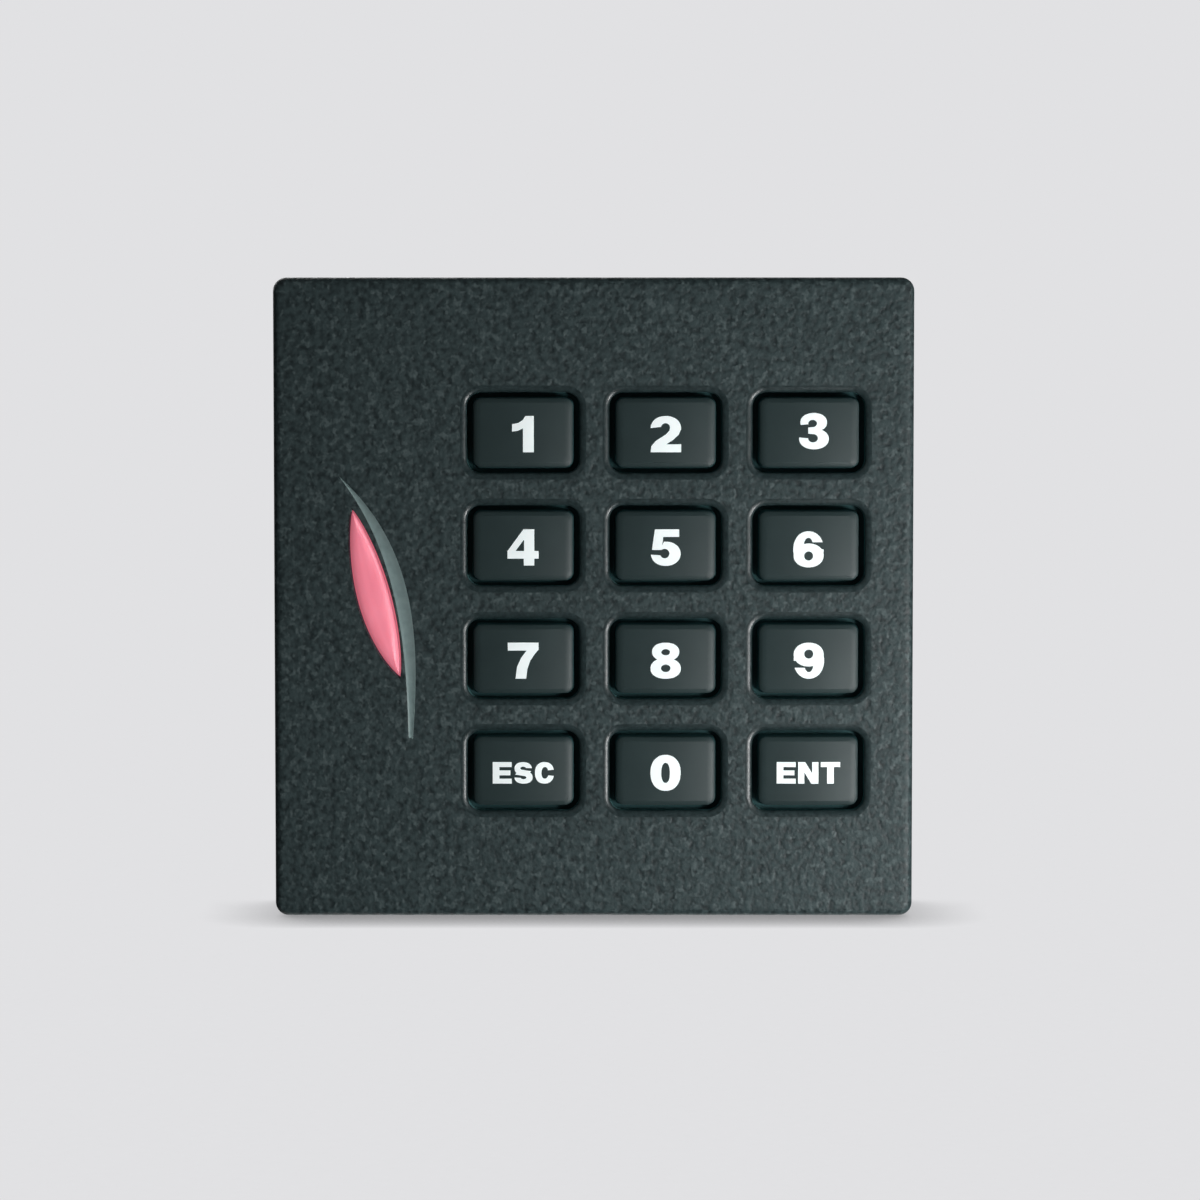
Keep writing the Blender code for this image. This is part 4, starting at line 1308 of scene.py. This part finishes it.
def area_light(name, place, aim, size, power):
    data = bpy.data.lights.new(name, "AREA")
    data.shape = "RECTANGLE"
    data.size, data.size_y = size
    data.energy = power
    lamp = bpy.data.objects.new(name, data)
    lamp.visible_camera = False
    lamp.location = place
    lamp.rotation_euler = (Vector(aim) - Vector(place)).to_track_quat("-Z", "Y").to_euler()
    bpy.context.scene.collection.objects.link(lamp)


def make_floor():
    """A pale floor that glows like the surround. The lights don't fall on it or stop at it.

    Its shadow isn't cast by the lights: ambient occlusion draws it round the reader.
    """
    build = Builder()
    rings = []
    for radius in (0.02, 0.06, 0.12, 0.25, 0.5, 1.0, FLOOR_RADIUS):
        rings.append([(x, y, FLOOR_Z) for x, y in circle(radius, steps=64)])
    build.strip(rings, caps=(True, False))
    material = bpy.data.materials.new("paper_floor")
    material.use_nodes = True
    tree = material.node_tree
    tree.nodes.clear()
    # The normal leans back to the reader, so the shadow is strongest before its face.
    lean = add_node(tree, "CombineXYZ", Y=SHADOW_LEAN[0], Z=SHADOW_LEAN[1])
    hidden = add_node(tree, "AmbientOcclusion", Distance=SHADOW_REACH)
    hidden.samples = 12
    tree.links.new(lean.outputs["Vector"], hidden.inputs["Normal"])
    depth = add_node(tree, "Math")
    depth.operation = "POWER"
    depth.inputs[1].default_value = SHADOW_POWER
    tree.links.new(hidden.outputs["AO"], depth.inputs[0])
    paper = add_node(tree, "TexNoise", Scale=PAPER_GRAIN)
    tint = add_node(tree, "MapRange", To_Min=0.99, To_Max=1.01)
    place = add_node(tree, "TexCoord")
    tree.links.new(place.outputs["Object"], paper.inputs["Vector"])
    tree.links.new(paper.outputs["Fac"], tint.inputs["Value"])
    strength = add_node(tree, "Math")
    strength.operation = "MULTIPLY"
    tree.links.new(depth.outputs[0], strength.inputs[0])
    tree.links.new(tint.outputs["Result"], strength.inputs[1])
    glow = add_node(tree, "Emission", Color=(*BACKDROP, 1.0))
    tree.links.new(strength.outputs[0], glow.inputs["Strength"])
    out = add_node(tree, "OutputMaterial")
    tree.links.new(glow.outputs[0], out.inputs["Surface"])
    floor = build.object("floor", (material,), weld=0)
    floor.visible_diffuse = False
    floor.visible_glossy = False
    floor.visible_shadow = False


def make_studio():
    """A pale surround, and soft lights. The key light and the bounce light are below the floor."""
    world = bpy.data.worlds.new("surround")
    world.use_nodes = True
    tree = world.node_tree
    shade = tree.nodes["Background"]
    shade.inputs["Color"].default_value = (0.93, 0.96, 1.0, 1.0)
    shade.inputs["Strength"].default_value = 0.07
    seen = add_node(tree, "Background", Color=(*BACKDROP, 1.0))
    mix = add_node(tree, "MixShader")
    ray = add_node(tree, "LightPath")
    tree.links.new(ray.outputs["Is Camera Ray"], mix.inputs["Fac"])
    tree.links.new(shade.outputs[0], mix.inputs[1])
    tree.links.new(seen.outputs[0], mix.inputs[2])
    tree.links.new(mix.outputs[0], tree.nodes["World Output"].inputs["Surface"])
    bpy.context.scene.world = world
    for light in LIGHTS:
        area_light(*light)
    bpy.context.scene.view_settings.view_transform = "Standard"


def main():
    back = grainy("back_plastic", (0.014, 0.016, 0.017), (0.026, 0.029, 0.031), 0.5, 0.35 * MM, 0.03 * MM)
    steel = grainy("plated_steel", (0.50, 0.51, 0.52), (0.64, 0.62, 0.56), 0.32, 0.1 * MM, 0.004 * MM, 1.0)
    tin = grainy("tinned_leads", (0.55, 0.55, 0.54), (0.72, 0.72, 0.70), 0.3, 0.15 * MM, 0.006 * MM, 1.0)
    copper = grainy("copper", (0.62, 0.24, 0.10), (0.76, 0.36, 0.16), 0.3, 0.2 * MM, 0.006 * MM, 1.0)
    moulded = grainy("chip_black", (0.010, 0.010, 0.011), (0.020, 0.020, 0.021), 0.5, 0.15 * MM, 0.01 * MM)
    ceramic = grainy("ceramic", (0.22, 0.15, 0.10), (0.34, 0.25, 0.17), 0.45, 0.2 * MM, 0.006 * MM)
    carbon = grainy("carbon", (0.006, 0.006, 0.006), (0.014, 0.014, 0.014), 0.75, 0.12 * MM, 0.02 * MM)

    make_front_cover(cover_plastic(), polished_plastic(), throat_painted_light(), rim_plastic())
    make_lens(lens_plastic())
    rubber, ink = key_rubber(), legend_ink()
    for name in KEY_NAMES:
        make_key(name, rubber)
        make_legend(name, ink)
        make_pill(name, carbon)
    make_wall_plate(back)
    for number in (1, 2, 3, 4):
        make_screw(f"case_screw_{number}", 2.2 * MM, 1.15 * MM, 7.6 * MM, steel)
        make_screw(f"board_screw_{number}", 2.0 * MM, 1.0 * MM, 6.0 * MM, steel)
    make_screw("lock_screw", 2.5 * MM, 1.5 * MM, 5.6 * MM, steel, upward=True)
    make_coil(copper)
    make_electronics(tin, ceramic)
    finish_nodes(back, steel, moulded)

    make_floor()
    make_camera()
    make_studio()


main()
